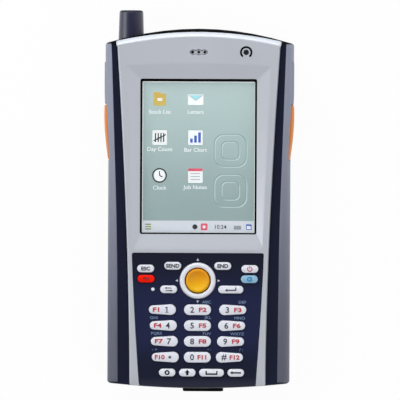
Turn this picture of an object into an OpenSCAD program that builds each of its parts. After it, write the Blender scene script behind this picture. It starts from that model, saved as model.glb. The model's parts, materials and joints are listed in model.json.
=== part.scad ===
// Handheld barcode data terminal, lying on its back.
// +Z comes out of the display, +Y runs to the antenna, +X to the right of the display.
// The origin is the middle of the outline, on the plane that the back rests on.

/* [Display] */
// Width of the display window
window_w = 55.4; // [50:0.2:60]
// Height of the display window
window_h = 73.4; // [68:0.2:78]
// Corner radius of the display window
window_corner_r = 1; // [0.5:0.1:2]
// Width of the dark line that frames the picture
frame_line = 0.75; // [0.5:0.05:1.2]
// How far the touch panel reaches under the cover
panel_overlap = 1.9; // [1.4:0.1:2.4]
// Width of the sloping surround above the window
surround_top = 7.3; // [5:0.1:9]
// Width of the sloping surround beside the window, at its top
surround_side_top = 6.8; // [4:0.1:8]
// Width of the sloping surround beside the window, at its bottom
surround_side_low = 3.3; // [2:0.1:3.8]
// Width of the sloping surround below the window
surround_low = 7.5; // [5:0.1:8]
// Thickness of the cover's lip round the window
window_lip_t = 0.8; // [0.6:0.1:1.4]
// Thickness of the touch panel
panel_t = 1.8; // [1.2:0.1:2.4]
// Thickness of the display module
lcd_t = 4.9; // [3.5:0.1:6]
// Thickness of the seal between panel and cover
gasket_t = 0.4; // [0.3:0.1:0.8]

/* [Keypad] */
// Width of a number key
key_w = 12.8; // [11.5:0.1:14.5]
// Height of a number key
key_h = 5; // [4.4:0.1:5.8]
// Height of an outer number key at its outer end
key_h_outer = 3.9; // [3.4:0.1:4.4]
// Gap between the number keys of the first row
col_gap_top = 3.9; // [2.8:0.1:4.4]
// Gap between the number keys of the last row
col_gap_low = 2.4; // [1.6:0.1:2.8]
// Gap between the rows of number keys
row_gap = 2.5; // [1.8:0.1:3.2]
// Width of a function key
fn_key_w = 8; // [7.4:0.1:9.2]
// Height of a function key
fn_key_h = 3.6; // [3.3:0.1:4.4]
// Gap between the two function keys of a corner pair
fn_pair_gap = 1.25; // [1:0.05:1.5]
// Distance from a corner pair to the keypad's side
fn_side_margin = 2.15; // [1.8:0.05:2.6]
// Width of the enter key
enter_key_w = 11.9; // [11:0.1:13.5]
// Width of the space key
space_key_w = 11.7; // [11:0.1:13]
// Width of the other keys of the bottom row
low_key_w = 7.8; // [7.4:0.1:8.8]
// Height of the keys of the bottom row
low_key_h = 3.6; // [3.5:0.1:4.6]
// Gap between the keys of the bottom row
low_key_gap = 1.75; // [1.4:0.05:2]
// Shift of the bottom row to the right
low_row_shift = 2; // [0:0.1:3]
// Gap above and below the bottom row
low_row_gap = 3; // [2:0.1:3.5]
// Outer diameter of the navigation ring
nav_ring_d = 17.1; // [15.5:0.1:18]
// Diameter of the scan key
scan_key_d = 11.5; // [10:0.1:12]
// Keypad height above the navigation ring
nav_top_gap = 4.35; // [3.8:0.05:5.5]
// Gap between the navigation ring and the first number row
nav_row_gap = 2.75; // [2.2:0.05:3.5]
// Distance from the lower keys to the navigation ring
nav_side_gap = 1.2; // [1.1:0.1:1.6]
// Keypad width outside the number keys, first row
plate_margin_top = 8; // [7:0.05:9]
// Keypad width outside the number keys, last row
plate_margin_low = 5.8; // [5:0.05:7]
// How far the keys stand above the keypad
key_proud = 1; // [0.7:0.1:1.6]
// Height and width of the stepped edge round a key's top
key_edge = 0.45; // [0.2:0.05:0.7]
// Width of a key's retaining lip
key_lip = 0.35; // [0.3:0.05:0.4]
// Thickness of a key's retaining lip
key_lip_t = 0.9; // [0.7:0.1:1]
// Diameter of a key's plunger
plunger_d = 2.4; // [1.8:0.1:3]
// Thickness of the keypad panel
plate_t = 1.6; // [1.2:0.1:2]
// Width of the rim that the keypad panel stands on
plate_rim = 1; // [0.8:0.1:1.2]
// Height of that rim
plate_rim_h = 0.7; // [0.6:0.05:1]
// Thickness of the rubber keypad mat
mat_t = 2; // [1.4:0.1:2.6]

/* [Body] */
// Distance from the top of the body to the window
top_margin = 24.2; // [20:0.1:28]
// Distance from the window to the keypad
window_to_keypad = 9.1; // [8.4:0.1:11]
// Distance from the bottom row of keys to the end of the body
low_margin = 5.75; // [4:0.05:7]
// Cover width beside the window, at the top
cover_side_top = 11.6; // [10:0.1:13]
// Cover width beside the window, at the bottom
cover_side_low = 4.6; // [4:0.1:6]
// Width of the cover's legs beside the keypad
leg_w = 4.9; // [4:0.1:6]
// Width of the dark side strip, at the top
strip_w_top = 2.4; // [1.8:0.1:3.2]
// Width of the dark side strip, at the bottom
strip_w_low = 5.4; // [4.5:0.1:6.2]
// Width of the grip outside the strip, at the top
grip_w_top = 2.9; // [2:0.1:3.4]
// Width of the grip outside the strip, at the bottom
grip_w_low = 5.4; // [4.8:0.1:6.4]
// Radius of the body's arc at the top end, seen from the front
top_arc_r = 140; // [130:0.5:155]
// Radius of the cover's arc at the top end
cover_arc_r = 175; // [160:0.5:195]
// Radius of the arc at the bottom end, seen from the front
low_arc_r = 383; // [300:1:500]
// Corner radius of the body, seen from the front
corner_r = 1.6; // [1:0.1:3]
// Thickness of the cover
cover_t = 2.7; // [2.3:0.1:3.2]
// How far the cover stands above the side strips
cover_proud = 1.8; // [1.2:0.1:2]
// Thickness of the housing walls
wall = 1.8; // [1.5:0.1:2.2]
// Thickness of the back wall
back_wall = 2.2; // [2:0.1:2.6]
// Thickness of the inner front wall under the cover
deck_t = 2; // [1.6:0.1:2.4]
// Thickness of the grips
grip_t = 1.8; // [1.4:0.1:2.2]
// Height of the rounding of the front's sides
front_round_h = 9; // [6:0.1:11]
// Inset of the end walls at the front face
front_end_inset = 0.4; // [0.2:0.1:0.9]
// Inset of the cover's top end
cover_end_inset = 1.5; // [1:0.1:1.8]
// Inset of the cover's and keypad's bottom ends
cover_low_inset = 0.3; // [0.3:0.1:1]
// Height of the rounding of the back's sides
back_round_h = 13; // [10:0.1:14]
// Inset of the sides at the back face
back_side_inset = 10; // [8:0.1:11]
// Inset of the ends at the back face
back_end_inset = 3; // [2:0.1:4]
// Height of the grips' lower edge above the back face
grip_z0 = 8; // [6:0.1:12]
// Width of the step between a dark side strip and its grip
grip_step = 0.15; // [0.1:0.01:0.3]
// Distance from the top of the body to the grips
grip_end_gap = 7.3; // [7.2:0.1:10]
// Distance from the bottom of the body to the grips
grip_low_gap = 3; // [2.8:0.1:5]

/* [Electronics] */
// Thickness of the main board
board_t = 1.6; // [1.2:0.1:2]
// Clearance beside the main board
board_side_gap = 3.1; // [3:0.1:3.4]
// Clearance between the main board and the bottom wall
board_low_gap = 3.5; // [2.5:0.1:5]
// Clearance between the main board and the top wall
board_top_gap = 8; // [7:0.1:10]
// Clearance under the main board
board_gap = 2.8; // [2:0.1:3.6]
// Diameter of the receiver
receiver_d = 10; // [8:0.5:12]
// Thickness of the receiver
receiver_t = 2; // [1.5:0.1:2.5]
// Length of the receiver's slot in the cover
receiver_slot_w = 8.2; // [7:0.1:9.5]
// Distance from the top of the body to the receiver
receiver_margin = 11.3; // [9:0.1:13]
// Distance of the status light from the middle
status_led_x = 22.5; // [18:0.1:26]
// Diameter of the status light
status_led_d = 2.1; // [1.6:0.1:2.6]
// Diameter of the keypad light
keypad_led_d = 2; // [1.6:0.1:2.4]
// Diameter of the loudspeaker
speaker_d = 18; // [14:0.5:20]
// Thickness of the loudspeaker
speaker_t = 5; // [3:0.1:6]
// Distance of the loudspeaker from the middle
speaker_x = 18; // [10:0.5:22]
// Width of the scan engine
engine_w = 26; // [20:0.5:30]
// Depth of the scan engine
engine_l = 16; // [12:0.5:18]
// Height of the scan engine
engine_h = 12.4; // [10:0.1:13]
// Width of the scan window
scan_window_w = 34; // [28:0.5:36]
// Height of the scan window
scan_window_h = 10; // [8:0.1:10.5]
// Thickness of the scan window
scan_window_t = 1.2; // [0.8:0.1:1.5]
// Side of a switch's case, seen from the front
switch_w = 3; // [2.5:0.1:3.5]
// Length of a switch's case
switch_l = 4; // [3.5:0.1:5]
// Height of a switch's case
switch_h = 2.6; // [2.2:0.1:3]
// Width of the dock connector
dock_w = 14; // [11:0.1:14.4]
// Height of the dock connector
dock_h = 5; // [4:0.1:5.6]
// Depth of the dock connector
dock_l = 7; // [5:0.1:8]
// Width of a contact of the dock connector
dock_contact_w = 1; // [0.8:0.05:1.1]
// Diameter of the microphone
mic_d = 4; // [3:0.1:5]
// Distance of the microphone from the middle
mic_x = 20; // [14:0.5:26]
// Height of the microphone above the back plane
mic_z = 15.5; // [14:0.1:16]

/* [Antenna] */
// Diameter of the antenna at its base
antenna_d = 12.2; // [10:0.1:12.6]
// Diameter of the antenna at its tip
antenna_tip_d = 11.4; // [9.5:0.1:12]
// Distance of the antenna's axis from the body's side
antenna_side_gap = 11.6; // [11.1:0.1:13.2]
// Height of the antenna above the back plane
antenna_z = 12; // [9.6:0.1:12.2]
// How far the antenna stands beyond the body's top
antenna_out = 8.8; // [6:0.1:14]
// Diameter of the antenna's neck
antenna_neck_d = 7; // [6:0.1:8]
// Length of the antenna's neck
antenna_neck_l = 5.6; // [4.5:0.1:5.8]
// Thickness of the boss round the antenna's neck
antenna_boss_t = 2.4; // [2:0.1:2.6]
// Rounding of the antenna's tip
antenna_tip_r = 1.2; // [0.6:0.1:2]

/* [Side controls] */
// Length of a trigger
trigger_l = 26; // [22:0.1:28]
// How far a trigger stands out of the side
trigger_proud = 1.2; // [1.1:0.1:2.2]
// Length of a side key
side_key_l = 20.2; // [17:0.1:21]
// How far a side key stands out of the side
side_key_proud = 0.45; // [0.3:0.05:0.8]
// Height of the triggers and side keys
side_control_h = 8.4; // [7:0.1:9]
// Distance from the top of the body to the side keys
side_key_margin = 15.7; // [14.5:0.1:18]
// Gap between a trigger and its side key
side_control_gap = 0.4; // [0.3:0.05:0.8]
// Thickness of the flange that retains a trigger or side key
side_flange_t = 1; // [0.8:0.1:1.2]
// How far that flange reaches past the window
side_flange_reach = 0.8; // [0.6:0.1:1]

/* [Battery] */
// Width of the battery pack
battery_w = 58; // [50:0.2:59]
// Length of the battery pack
battery_l = 84; // [74:0.2:88]
// Thickness of the battery pack
battery_t = 17.6; // [16:0.1:19]
// Distance from the body's bottom end to the battery pack
battery_margin = 26.6; // [22:0.1:30]
// Thickness of the walls of the battery bay
bay_wall = 1.8; // [1.5:0.1:2]
// Thickness of the lid of the battery bay
bay_lid_t = 1.2; // [1:0.1:1.6]
// How far the battery door reaches under the walls of the bay
door_ledge = 1; // [0.8:0.1:1.1]
// Thickness of the battery door
door_t = 1.75; // [1.5:0.05:2]
// Radius of the battery door's hinge barrel
door_barrel_r = 1.5; // [1.35:0.05:1.6]
// Radius of the battery door's pin
door_pin_r = 0.8; // [0.6:0.05:0.9]
// Width of the battery door's catch
catch_w = 8; // [6:0.1:12]
// Thickness of the catch's leaf
catch_t = 0.5; // [0.4:0.05:0.6]
// How far the catch reaches over the battery door
catch_reach = 0.5; // [0.3:0.05:0.6]

/* [Port cover] */
// Width of the port cover
port_cover_w = 18.9; // [17:0.1:20]
// Distance of the port cover and the dock connector from the middle
port_cover_x = 1.9; // [0:0.1:3]
// Height of the port cover's plate
port_cover_h = 10.4; // [9.6:0.1:11]
// How far the port cover stands beyond the body's bottom
port_cover_out = 1.6; // [1.5:0.1:2]
// Radius of the port cover's hinge barrel
port_barrel_r = 0.95; // [0.85:0.01:1]
// Radius of the port cover's pin
port_pin_r = 0.5; // [0.4:0.05:0.55]
// Height of the port cover's pin above the back plane
port_pin_z = 6.6; // [6.2:0.1:7]

/* [Screws] */
// Diameter of a housing screw
screw_d = 2.5; // [2:0.1:2.8]
// Diameter of a screw head
screw_head_d = 4.6; // [4:0.1:5]
// Depth of a screw head's recess
screw_recess = 2; // [1.8:0.1:2.4]
// Height of a screw head
screw_head_h = 1.8; // [1.4:0.1:1.8]
// Diameter of a screw boss
boss_d = 6; // [5.4:0.1:6.2]
// Distance of the screws from the main board's sides
screw_margin = 2.7; // [2.5:0.1:3]
// Distance of the upper screws from the body's top
screw_top_margin = 15.6; // [15.5:0.1:16.5]
// Distance of the lower screws from the body's bottom
screw_low_margin = 9.6; // [9:0.1:11]

/* [Fits] */
// Gap round a key in the keypad panel
key_gap = 0.2; // [0.1:0.01:0.22]
// Gap above a key's retaining lip
lip_gap = 0.1; // [0.05:0.01:0.2]
// Travel of a key
key_travel = 0.55; // [0.4:0.05:0.7]
// Gap that is left under a pressed key
press_gap = 0.2; // [0.15:0.05:0.4]
// Travel of a trigger or a side key
side_travel = 0.7; // [0.5:0.05:0.8]
// Gap round a trigger or side key in its window
side_gap = 0.2; // [0.15:0.01:0.3]
// Gap round the navigation ring
ring_gap = 0.3; // [0.25:0.01:0.4]
// Gap between the scan key and the navigation ring
scan_key_gap = 0.4; // [0.35:0.01:0.5]
// Height that the navigation ring needs to tilt
tilt_room = 0.6; // [0.5:0.05:0.7]
// Radial gap of a moving pin in its bore
pin_gap = 0.05; // [0.03:0.01:0.08]
// Gap of a fixed piece in its seat
seat_gap = 0.1; // [0.05:0.01:0.15]
// Gap round the battery pack
battery_gap = 0.4; // [0.3:0.05:0.6]
// Gap round the battery door
door_gap = 0.2; // [0.15:0.01:0.3]
// Recess of the battery door's outer face
door_recess = 0.35; // [0.25:0.05:0.4]

/* [Hidden] */
$fn = 48;

// Heights, from the back upwards
door_z0 = door_recess;
door_z1 = door_z0 + door_t;
battery_z0 = back_wall + battery_gap;
battery_z1 = battery_z0 + battery_t;
bay_lid_z0 = battery_z1 + battery_gap;
bay_lid_z1 = bay_lid_z0 + bay_lid_t;
board_z0 = bay_lid_z1 + board_gap;
board_z1 = board_z0 + board_t;
panel_z0 = board_z1 + lcd_t;
panel_z1 = panel_z0 + panel_t;
cover_z0 = panel_z1 + gasket_t;
cover_z1 = cover_z0 + cover_t;
deck_z0 = cover_z0 - deck_t;
strip_z = cover_z1 - cover_proud;
split_z = bay_lid_z0 - 1.6;
plate_z0 = cover_z0 + plate_rim_h;
plate_z1 = plate_z0 + plate_t;
key_z1 = plate_z1 + key_proud;
front_round_z = strip_z - front_round_h;

// Rows along Y, first relative to the body's bottom end
nav_r = nav_ring_d / 2;
low_row_up = low_margin + low_key_h / 2;
last_row_up = low_row_up + low_key_h / 2 + low_row_gap + key_h / 2;
first_row_up = last_row_up + 3 * (key_h + row_gap);
nav_up = first_row_up + key_h / 2 + nav_row_gap + nav_r;
plate_up = nav_up + nav_r + nav_top_gap;
window_up = plate_up + window_to_keypad;
body_len = window_up + window_h + top_margin;

// Places along Y, with the whole outline centred on the origin
body_y0 = port_cover_out - (body_len + antenna_out + port_cover_out) / 2;
body_y1 = body_y0 + body_len;
low_row_y = body_y0 + low_row_up;
first_row_y = body_y0 + first_row_up;
nav_y = body_y0 + nav_up;
plate_y1 = body_y0 + plate_up;
window_y0 = body_y0 + window_up;
window_y1 = window_y0 + window_h;
window_y = (window_y0 + window_y1) / 2;
side_key_y1 = body_y1 - side_key_margin;
side_key_y0 = side_key_y1 - side_key_l;
trigger_y1 = side_key_y0 - side_control_gap;
trigger_y0 = trigger_y1 - trigger_l;
receiver_y = body_y1 - receiver_margin;
grip_y0 = body_y0 + grip_low_gap;
grip_y1 = body_y1 - grip_end_gap;

// Half widths
plate_half_top = 1.5 * key_w + col_gap_top + plate_margin_top;
plate_half_low = 1.5 * key_w + col_gap_low + plate_margin_low;
cover_half_low = max(plate_half_low + leg_w, window_w / 2 + cover_side_low);
cover_half_top = window_w / 2 + cover_side_top;
strip_half_low = cover_half_low + strip_w_low;
strip_half_top = cover_half_top + strip_w_top;
body_half_low = strip_half_low + grip_w_low;
body_half_top = strip_half_top + grip_w_top;
antenna_x = body_half_top - antenna_side_gap;

// Main board and screws
board_half_w = body_half_low - grip_t - wall - board_side_gap;
screw_x = board_half_w - screw_margin;
screws = [for (x = [-screw_x, screw_x],
    y = [body_y0 + screw_low_margin, window_y0 + window_h / 3, body_y1 - screw_top_margin]) [x, y]];

// Side controls
side_z = split_z + 1.8 + side_control_h / 2;
side_flange_x = board_half_w + press_gap + side_travel + 0.4;

// Battery bay and door
battery_y0 = body_y0 + battery_margin;
battery_y1 = battery_y0 + battery_l;
contact_l = 1.6;
door_axis_y = battery_y0 - door_barrel_r - battery_gap - door_gap;
door_axis_z = 1.75;
bay_half_w = battery_w / 2 + battery_gap;
bay_y0 = door_axis_y - door_barrel_r - battery_gap;
bay_y1 = battery_y1 + battery_gap + contact_l;
door_half_w = bay_half_w + door_ledge - door_gap;
door_y1 = bay_y1 + door_ledge - door_gap;
pin_lug_w = 3.2;
door_pin_half = door_half_w + door_gap + pin_lug_w - 0.5;

// Port cover
port_pin_y = body_y0 - port_cover_out + port_barrel_r;
port_lug_x = port_cover_w * 0.31;
port_lug_w = 2;

// Points along the outline's sides, ends and corners
side_steps = 9;
end_steps = 5;
corner_steps = 4;

function clamp01(t) = min(max(t, 0), 1);
function smooth(t) = let (c = clamp01(t)) c * c * (3 - 2 * c);
function rounding(u) = 1 - sqrt(1 - u * u);
function along(y) = clamp01((y - body_y0) / body_len);

function body_half(y) = body_half_low + (body_half_top - body_half_low)
    * smooth((y - (window_y0 + 0.45 * window_h)) / (0.5 * window_h));
function strip_half(y) = strip_half_low + (strip_half_top - strip_half_low) * pow(along(y), 2);
function cover_half(y) = cover_half_low + (cover_half_top - cover_half_low) * pow(along(y), 1.7);
function plate_half(y) = plate_half_top - (plate_half_top - plate_half_low)
    * pow(clamp01((plate_y1 - y) / (plate_y1 - body_y0)), 1.25);

// Right half of an outline: up the side given by half(y), with arcs at both ends and round corners.
// side and end are insets; y1 is the middle of the top end.
function right_side(half, side, end, y0, y1, r0, r1, c) =
    let (
        low = y0 + end,
        high = y1 - end,
        xl = half(y0) - side - c,
        xh = half(y1) - side - c,
        yl = low + xl * xl / (2 * r0),
        yh = high - xh * xh / (2 * r1)
    )
    concat(
        [for (i = [0 : end_steps]) let (x = xl * i / end_steps) [x, low + x * x / (2 * r0)]],
        [for (i = [1 : corner_steps]) let (a = 90 * i / (corner_steps + 1)) [xl + c * sin(a), yl + c - c * cos(a)]],
        [for (i = [0 : side_steps]) let (y = yl + c + (yh - yl - 2 * c) * i / side_steps) [half(y) - side, y]],
        [for (i = [1 : corner_steps]) let (a = 90 * i / (corner_steps + 1)) [xh + c * cos(a), yh - c + c * sin(a)]],
        [for (i = [end_steps : -1 : 0]) let (x = xh * i / end_steps) [x, high - x * x / (2 * r1)]]
    );

function mirrored(points) = concat(points,
    [for (i = [len(points) - 2 : -1 : 1]) [-points[i][0], points[i][1]]]);

function body_outline(side, end) =
    mirrored(right_side(function (y) body_half(y), side, end, body_y0, body_y1,
        low_arc_r, top_arc_r, corner_r));

function cover_outline(side, end, low) =
    mirrored(right_side(function (y) cover_half(y), side, end, body_y0 + low - end, body_y1,
        low_arc_r, cover_arc_r, 0.8));

// Outline of the strips' outer edges, carried on past both ends
function strip_outline(grow) =
    mirrored(right_side(function (y) strip_half(y) + grow, 0, -3, body_y0, body_y1,
        low_arc_r, top_arc_r, corner_r));

function plate_outline(side, top, end) =
    mirrored(right_side(function (y) plate_half(y), side, 0, body_y0 + end, plate_y1 - top,
        low_arc_r, 5000, 1));

// Outline of the outer form at height z, pulled in by side and end
function form_outline(z, side, end) =
    z > front_round_z
        ? let (s = rounding(min((z - front_round_z) / front_round_h, 1)))
            mirrored(right_side(function (y) body_half(y) - s * (body_half(y) - strip_half(y)),
                side, end + s * front_end_inset, body_y0, body_y1, low_arc_r, top_arc_r, corner_r))
        : let (s = rounding(clamp01((back_round_h - z) / back_round_h)))
            body_outline(side + s * back_side_inset, end + s * back_end_inset);

function back_levels() = [for (u = [1, 0.97, 0.9, 0.78, 0.6, 0.35, 0]) back_round_h * (1 - u)];
function front_levels() = [for (u = [0, 0.35, 0.6, 0.8, 0.93, 0.985, 1]) front_round_z + front_round_h * u];
function levels_between(z0, z1) = concat([z0],
    [for (z = concat(back_levels(), front_levels())) if (z > z0 + 0.05 && z < z1 - 0.05) z], [z1]);

// Outline that lies as far past a as a lies past b
function carried_on(a, b) = [for (i = [0 : len(a) - 1]) 2 * a[i] - b[i]];

// Solid through a list of outlines at rising heights
module stack(outlines, heights) {
    n = len(outlines[0]);
    m = len(outlines);
    polyhedron(
        points = [for (k = [0 : m - 1]) for (p = outlines[k]) [p[0], p[1], heights[k]]],
        faces = concat(
            [[for (i = [0 : n - 1]) i]],
            [for (k = [0 : m - 2]) for (i = [0 : n - 1])
                let (j = (i + 1) % n) [k * n + i, (k + 1) * n + i, (k + 1) * n + j, k * n + j]],
            [[for (i = [n - 1 : -1 : 0]) (m - 1) * n + i]]));
}

// The same, carried on past both ends and cut flat there
module flat_stack(outlines, heights) {
    m = len(outlines) - 1;
    intersection() {
        stack(
            concat([carried_on(outlines[0], outlines[1])], [for (k = [1 : m - 1]) outlines[k]],
                [carried_on(outlines[m], outlines[m - 1])]),
            concat([2 * heights[0] - heights[1]], [for (k = [1 : m - 1]) heights[k]],
                [2 * heights[m] - heights[m - 1]]));
        block(-body_half_top - 5, body_half_top + 5, body_y0 - 5, body_y1 + 5, heights[0], heights[m]);
    }
}

// The outer form from z0 to z1, pulled in by side and end
module form(z0, z1, side = 0, end = 0) {
    heights = levels_between(z0, z1);
    flat_stack([for (z = heights) form_outline(z, side, end)], heights);
}

module prism(outline, z0, z1) {
    translate([0, 0, z0]) linear_extrude(z1 - z0) polygon(outline);
}

module block(x0, x1, y0, y1, z0, z1) {
    translate([x0, y0, z0]) cube([x1 - x0, y1 - y0, z1 - z0]);
}

module post(x, y, d, z0, z1) {
    translate([x, y, z0]) cylinder(d = d, h = z1 - z0);
}

module x_rod(x0, x1, y, z, r) {
    translate([x0, y, z]) rotate([0, 90, 0]) cylinder(r = r, h = x1 - x0);
}

module y_rod(x, y0, y1, z, r) {
    translate([x, y0, z]) rotate([-90, 0, 0]) cylinder(r = r, h = y1 - y0);
}

module rounded_rect(w, h, r) {
    square([w, h - 2 * r], center = true);
    square([w - 2 * r, h], center = true);
    for (x = [-1, 1], y = [-1, 1]) translate([x * (w / 2 - r), y * (h / 2 - r)]) circle(r);
}

// Window-shaped solid, larger than the display window by grow
module window_prism(grow, z0, z1, r = window_corner_r) {
    translate([0, window_y, z0]) linear_extrude(z1 - z0)
        rounded_rect(window_w + 2 * grow, window_h + 2 * grow, r);
}

// --- Housing ---

// Where the grips lie in the body's sides
module grip_zone() {
    difference() {
        block(-60, 60, grip_y0, grip_y1, grip_z0, cover_z1);
        form(grip_z0 - 1, cover_z1 + 1, grip_t, -1);
        prism(strip_outline(grip_step), grip_z0 - 1, cover_z1 + 1);
    }
}

module grip(side) {
    intersection() {
        form(grip_z0 - 1, strip_z);
        grip_zone();
        translate([side < 0 ? -60 : 0, 0, 0]) block(0, 60, body_y0 - 5, body_y1, 0, cover_z1);
    }
}

module side_windows(grow) {
    for (side = [-1, 1]) translate([side < 0 ? -60 : board_half_w, 0, 0])
        block(0, 60 - board_half_w, trigger_y0 - grow, side_key_y1 + grow,
            side_z - side_control_h / 2 - grow, side_z + side_control_h / 2 + grow);
}

module seal_band() {
    mid_side = grip_t + wall / 2;
    mid_end = wall / 2;
    difference() {
        prism(body_outline(mid_side - 0.4, mid_end - 0.4), split_z - 0.4, split_z + 0.4);
        prism(body_outline(mid_side + 0.4, mid_end + 0.4), split_z - 1, split_z + 1);
    }
}

module front_housing() color("#1e2233") difference() {
    union() {
        difference() {
            form(split_z, strip_z);
            form(split_z - 0.01, deck_z0, grip_t + wall, wall);
        }
        for (s = screws) post(s[0], s[1], boss_d, board_z1, deck_z0 + 0.1);
    }
    grip_zone();
    prism(cover_outline(-seat_gap, -3, -3), cover_z0, cover_z1);
    window_prism(panel_overlap + seat_gap, deck_z0 - 1, cover_z1);
    prism(plate_outline(plate_rim, plate_rim, wall + 2), deck_z0 - 1, cover_z1);
    side_windows(side_gap);
    seal_band();
    for (s = screws) post(s[0], s[1], screw_d, board_z1 - 1, deck_z0 - 1);
    receiver_slot(deck_z0 - 1, cover_z1);
    post(status_led_x, receiver_y, status_led_d, deck_z0 - 1, cover_z1);
}

module front_cover() color("#b9bec7") difference() {
    flat_stack(
        [for (i = [[0, 0], [0, 0], [0.15, 0.6], [0.6, 1.7]])
            cover_outline(i[0], cover_end_inset + i[1], cover_low_inset + i[1])],
        [cover_z0, cover_z1 - 1, cover_z1 - 0.4, cover_z1]);
    window_prism(0, cover_z0 - 1, cover_z1 + 1);
    display_surround();
    prism(plate_outline(-seat_gap, -seat_gap, -3), cover_z0 - 1, cover_z1 + 1);
    receiver_slot(cover_z0 - 1, cover_z1 + 1);
    post(status_led_x, receiver_y, status_led_d, cover_z0 - 1, cover_z1 + 1);
}

// Sloping surround that leads down to the display window
module display_surround() {
    corner = 2.5;
    over = 0.3;
    foot_z = cover_z0 + window_lip_t;
    wider = 1 + over / (cover_z1 - foot_z);
    top_x = window_w / 2 + surround_side_top * wider - corner;
    low_x = window_w / 2 + surround_side_low * wider - corner;
    hull() {
        for (side = [-1, 1]) {
            translate([side * top_x, window_y1 + surround_top * wider - corner, cover_z1 + over])
                cylinder(r = corner, h = over, $fn = 32);
            translate([side * low_x, window_y0 - surround_low * wider + corner, cover_z1 + over])
                cylinder(r = corner, h = over, $fn = 32);
        }
        window_prism(-over, foot_z, cover_z1);
    }
}

// Three round holes in line, joined into one slot
module receiver_slot(z0, z1) {
    lobe_d = receiver_slot_w * 0.3;
    for (i = [-1 : 1]) post(i * (receiver_slot_w - lobe_d) / 2, receiver_y, lobe_d, z0, z1);
    block(-receiver_slot_w / 3, receiver_slot_w / 3, receiver_y - lobe_d / 4, receiver_y + lobe_d / 4, z0, z1);
}

module rear_housing() color("#14161d") difference() {
    union() {
        difference() {
            form(0, split_z);
            form(back_wall, split_z + 0.01, grip_t + wall, wall);
        }
        block(-bay_half_w - bay_wall, bay_half_w + bay_wall, bay_y0 - bay_wall, bay_y1 + bay_wall,
            back_wall - 0.1, bay_lid_z1);
        for (s = screws) post(s[0], s[1], boss_d, back_wall - 0.1, board_z0);
        for (side = [-1, 1]) pin_lug(side);
        antenna_boss();
        port_lugs();
    }
    grip_zone();
    block(-bay_half_w, bay_half_w, bay_y0, bay_y1, -1, bay_lid_z0);
    block(-bay_half_w - door_ledge, bay_half_w + door_ledge, bay_y0, bay_y1 + door_ledge, -1, back_wall);
    block(-catch_w / 2 - door_gap, catch_w / 2 + door_gap, bay_y1, bay_y1 + bay_wall + catch_t + door_gap,
        -1, back_wall);
    x_rod(-door_pin_half, door_pin_half, door_axis_y, door_axis_z, door_pin_r);
    seal_band();
    for (s = screws) {
        post(s[0], s[1], screw_d, -1, board_z0 + 1);
        post(s[0], s[1], screw_head_d + 2 * seat_gap, -1, screw_recess + back_wall);
    }
    y_rod(-antenna_x, antenna_seat_y() - antenna_neck_l - 1, body_y1 + 5, antenna_z, antenna_neck_d / 2);
    y_rod(-antenna_x, antenna_seat_y(), body_y1 + 5, antenna_z, antenna_d / 2 + seat_gap);
    scan_opening();
    block(port_cover_x - dock_w / 2 - seat_gap, port_cover_x + dock_w / 2 + seat_gap, body_y0 - 5,
        body_y0 + wall + 5, dock_z() - dock_h / 2 - seat_gap, dock_z() + dock_h / 2 + seat_gap);
    x_rod(-port_cover_w, port_cover_w, port_pin_y, port_pin_z, port_pin_r);
    for (x = [-2 : 2]) post(x * 2.6 - speaker_x, speaker_y(), 1.6, -1, back_wall + 1);
    y_rod(mic_x, body_y0 - 5, body_y0 + wall + 2, mic_z, 0.5);
    y_rod(mic_x, body_y0 + wall / 2, body_y0 + wall + 5, mic_z, mic_d / 2);
}

// Ear inside the back wall that holds one end of the battery door's pin
module pin_lug(side) {
    x0 = door_half_w + door_gap;
    translate([side < 0 ? -x0 - pin_lug_w : x0, 0, 0])
        block(0, pin_lug_w, door_axis_y - 2, door_axis_y + 2, back_wall - 0.2, door_axis_z + door_pin_r + 1);
}

function antenna_seat_y() = body_y1 - pow(antenna_x + antenna_d / 2, 2) / (2 * top_arc_r) - 0.2;
function dock_z() = port_pin_z + 5.9;
function speaker_y() = bay_y1 + bay_wall + speaker_d / 2 + 2;
function engine_y1() = body_y1 - wall - 4;
function scan_z() = back_wall + engine_h / 2;

module antenna_boss() {
    y_rod(-antenna_x, antenna_seat_y() - antenna_neck_l + 1, antenna_seat_y() + 0.1, antenna_z,
        antenna_neck_d / 2 + antenna_boss_t);
}

module scan_opening() {
    block(-scan_window_w / 2 + 1, scan_window_w / 2 - 1, body_y1 - wall - 6, body_y1 + 5,
        scan_z() - scan_window_h / 2 + 1, scan_z() + scan_window_h / 2 - 1);
    scan_recess(seat_gap, 0);
}

// Shallow pocket in the top end face, as deep as the window
module scan_recess(grow, sink) {
    difference() {
        block(-scan_window_w / 2 - grow, scan_window_w / 2 + grow, body_y1 - 12, body_y1 + 5,
            scan_z() - scan_window_h / 2 - grow, scan_z() + scan_window_h / 2 + grow);
        form(0, split_z + 1, -1, scan_window_t + sink);
    }
}

module port_lugs() {
    for (side = [-1, 1]) translate([port_cover_x + side * port_lug_x - port_lug_w / 2, 0, 0]) {
        x_rod(0, port_lug_w, port_pin_y, port_pin_z, port_barrel_r);
        block(0, port_lug_w, port_pin_y, body_y0 + 1.4, port_pin_z - port_barrel_r, port_pin_z + port_barrel_r);
    }
}

module left_grip() color("#8f96a3") difference() {
    grip(-1);
    side_windows(side_gap);
}

module right_grip() color("#7d8090") difference() {
    grip(1);
    side_windows(side_gap);
}

module housing_seal() color("#3a3d42") seal_band();

module housing_screws() color("#8a8d92") for (s = screws) {
    post(s[0], s[1], screw_d, back_wall + screw_recess, deck_z0 - 1.2);
    post(s[0], s[1], screw_head_d, back_wall + screw_recess - screw_head_h, back_wall + screw_recess);
}

// --- Display ---

module touch_panel() color("#cfe0e0") window_prism(panel_overlap, panel_z0, panel_z1);

module lcd_module() color("#aebfc0") window_prism(panel_overlap - 0.4, board_z1, panel_z0);

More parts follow.
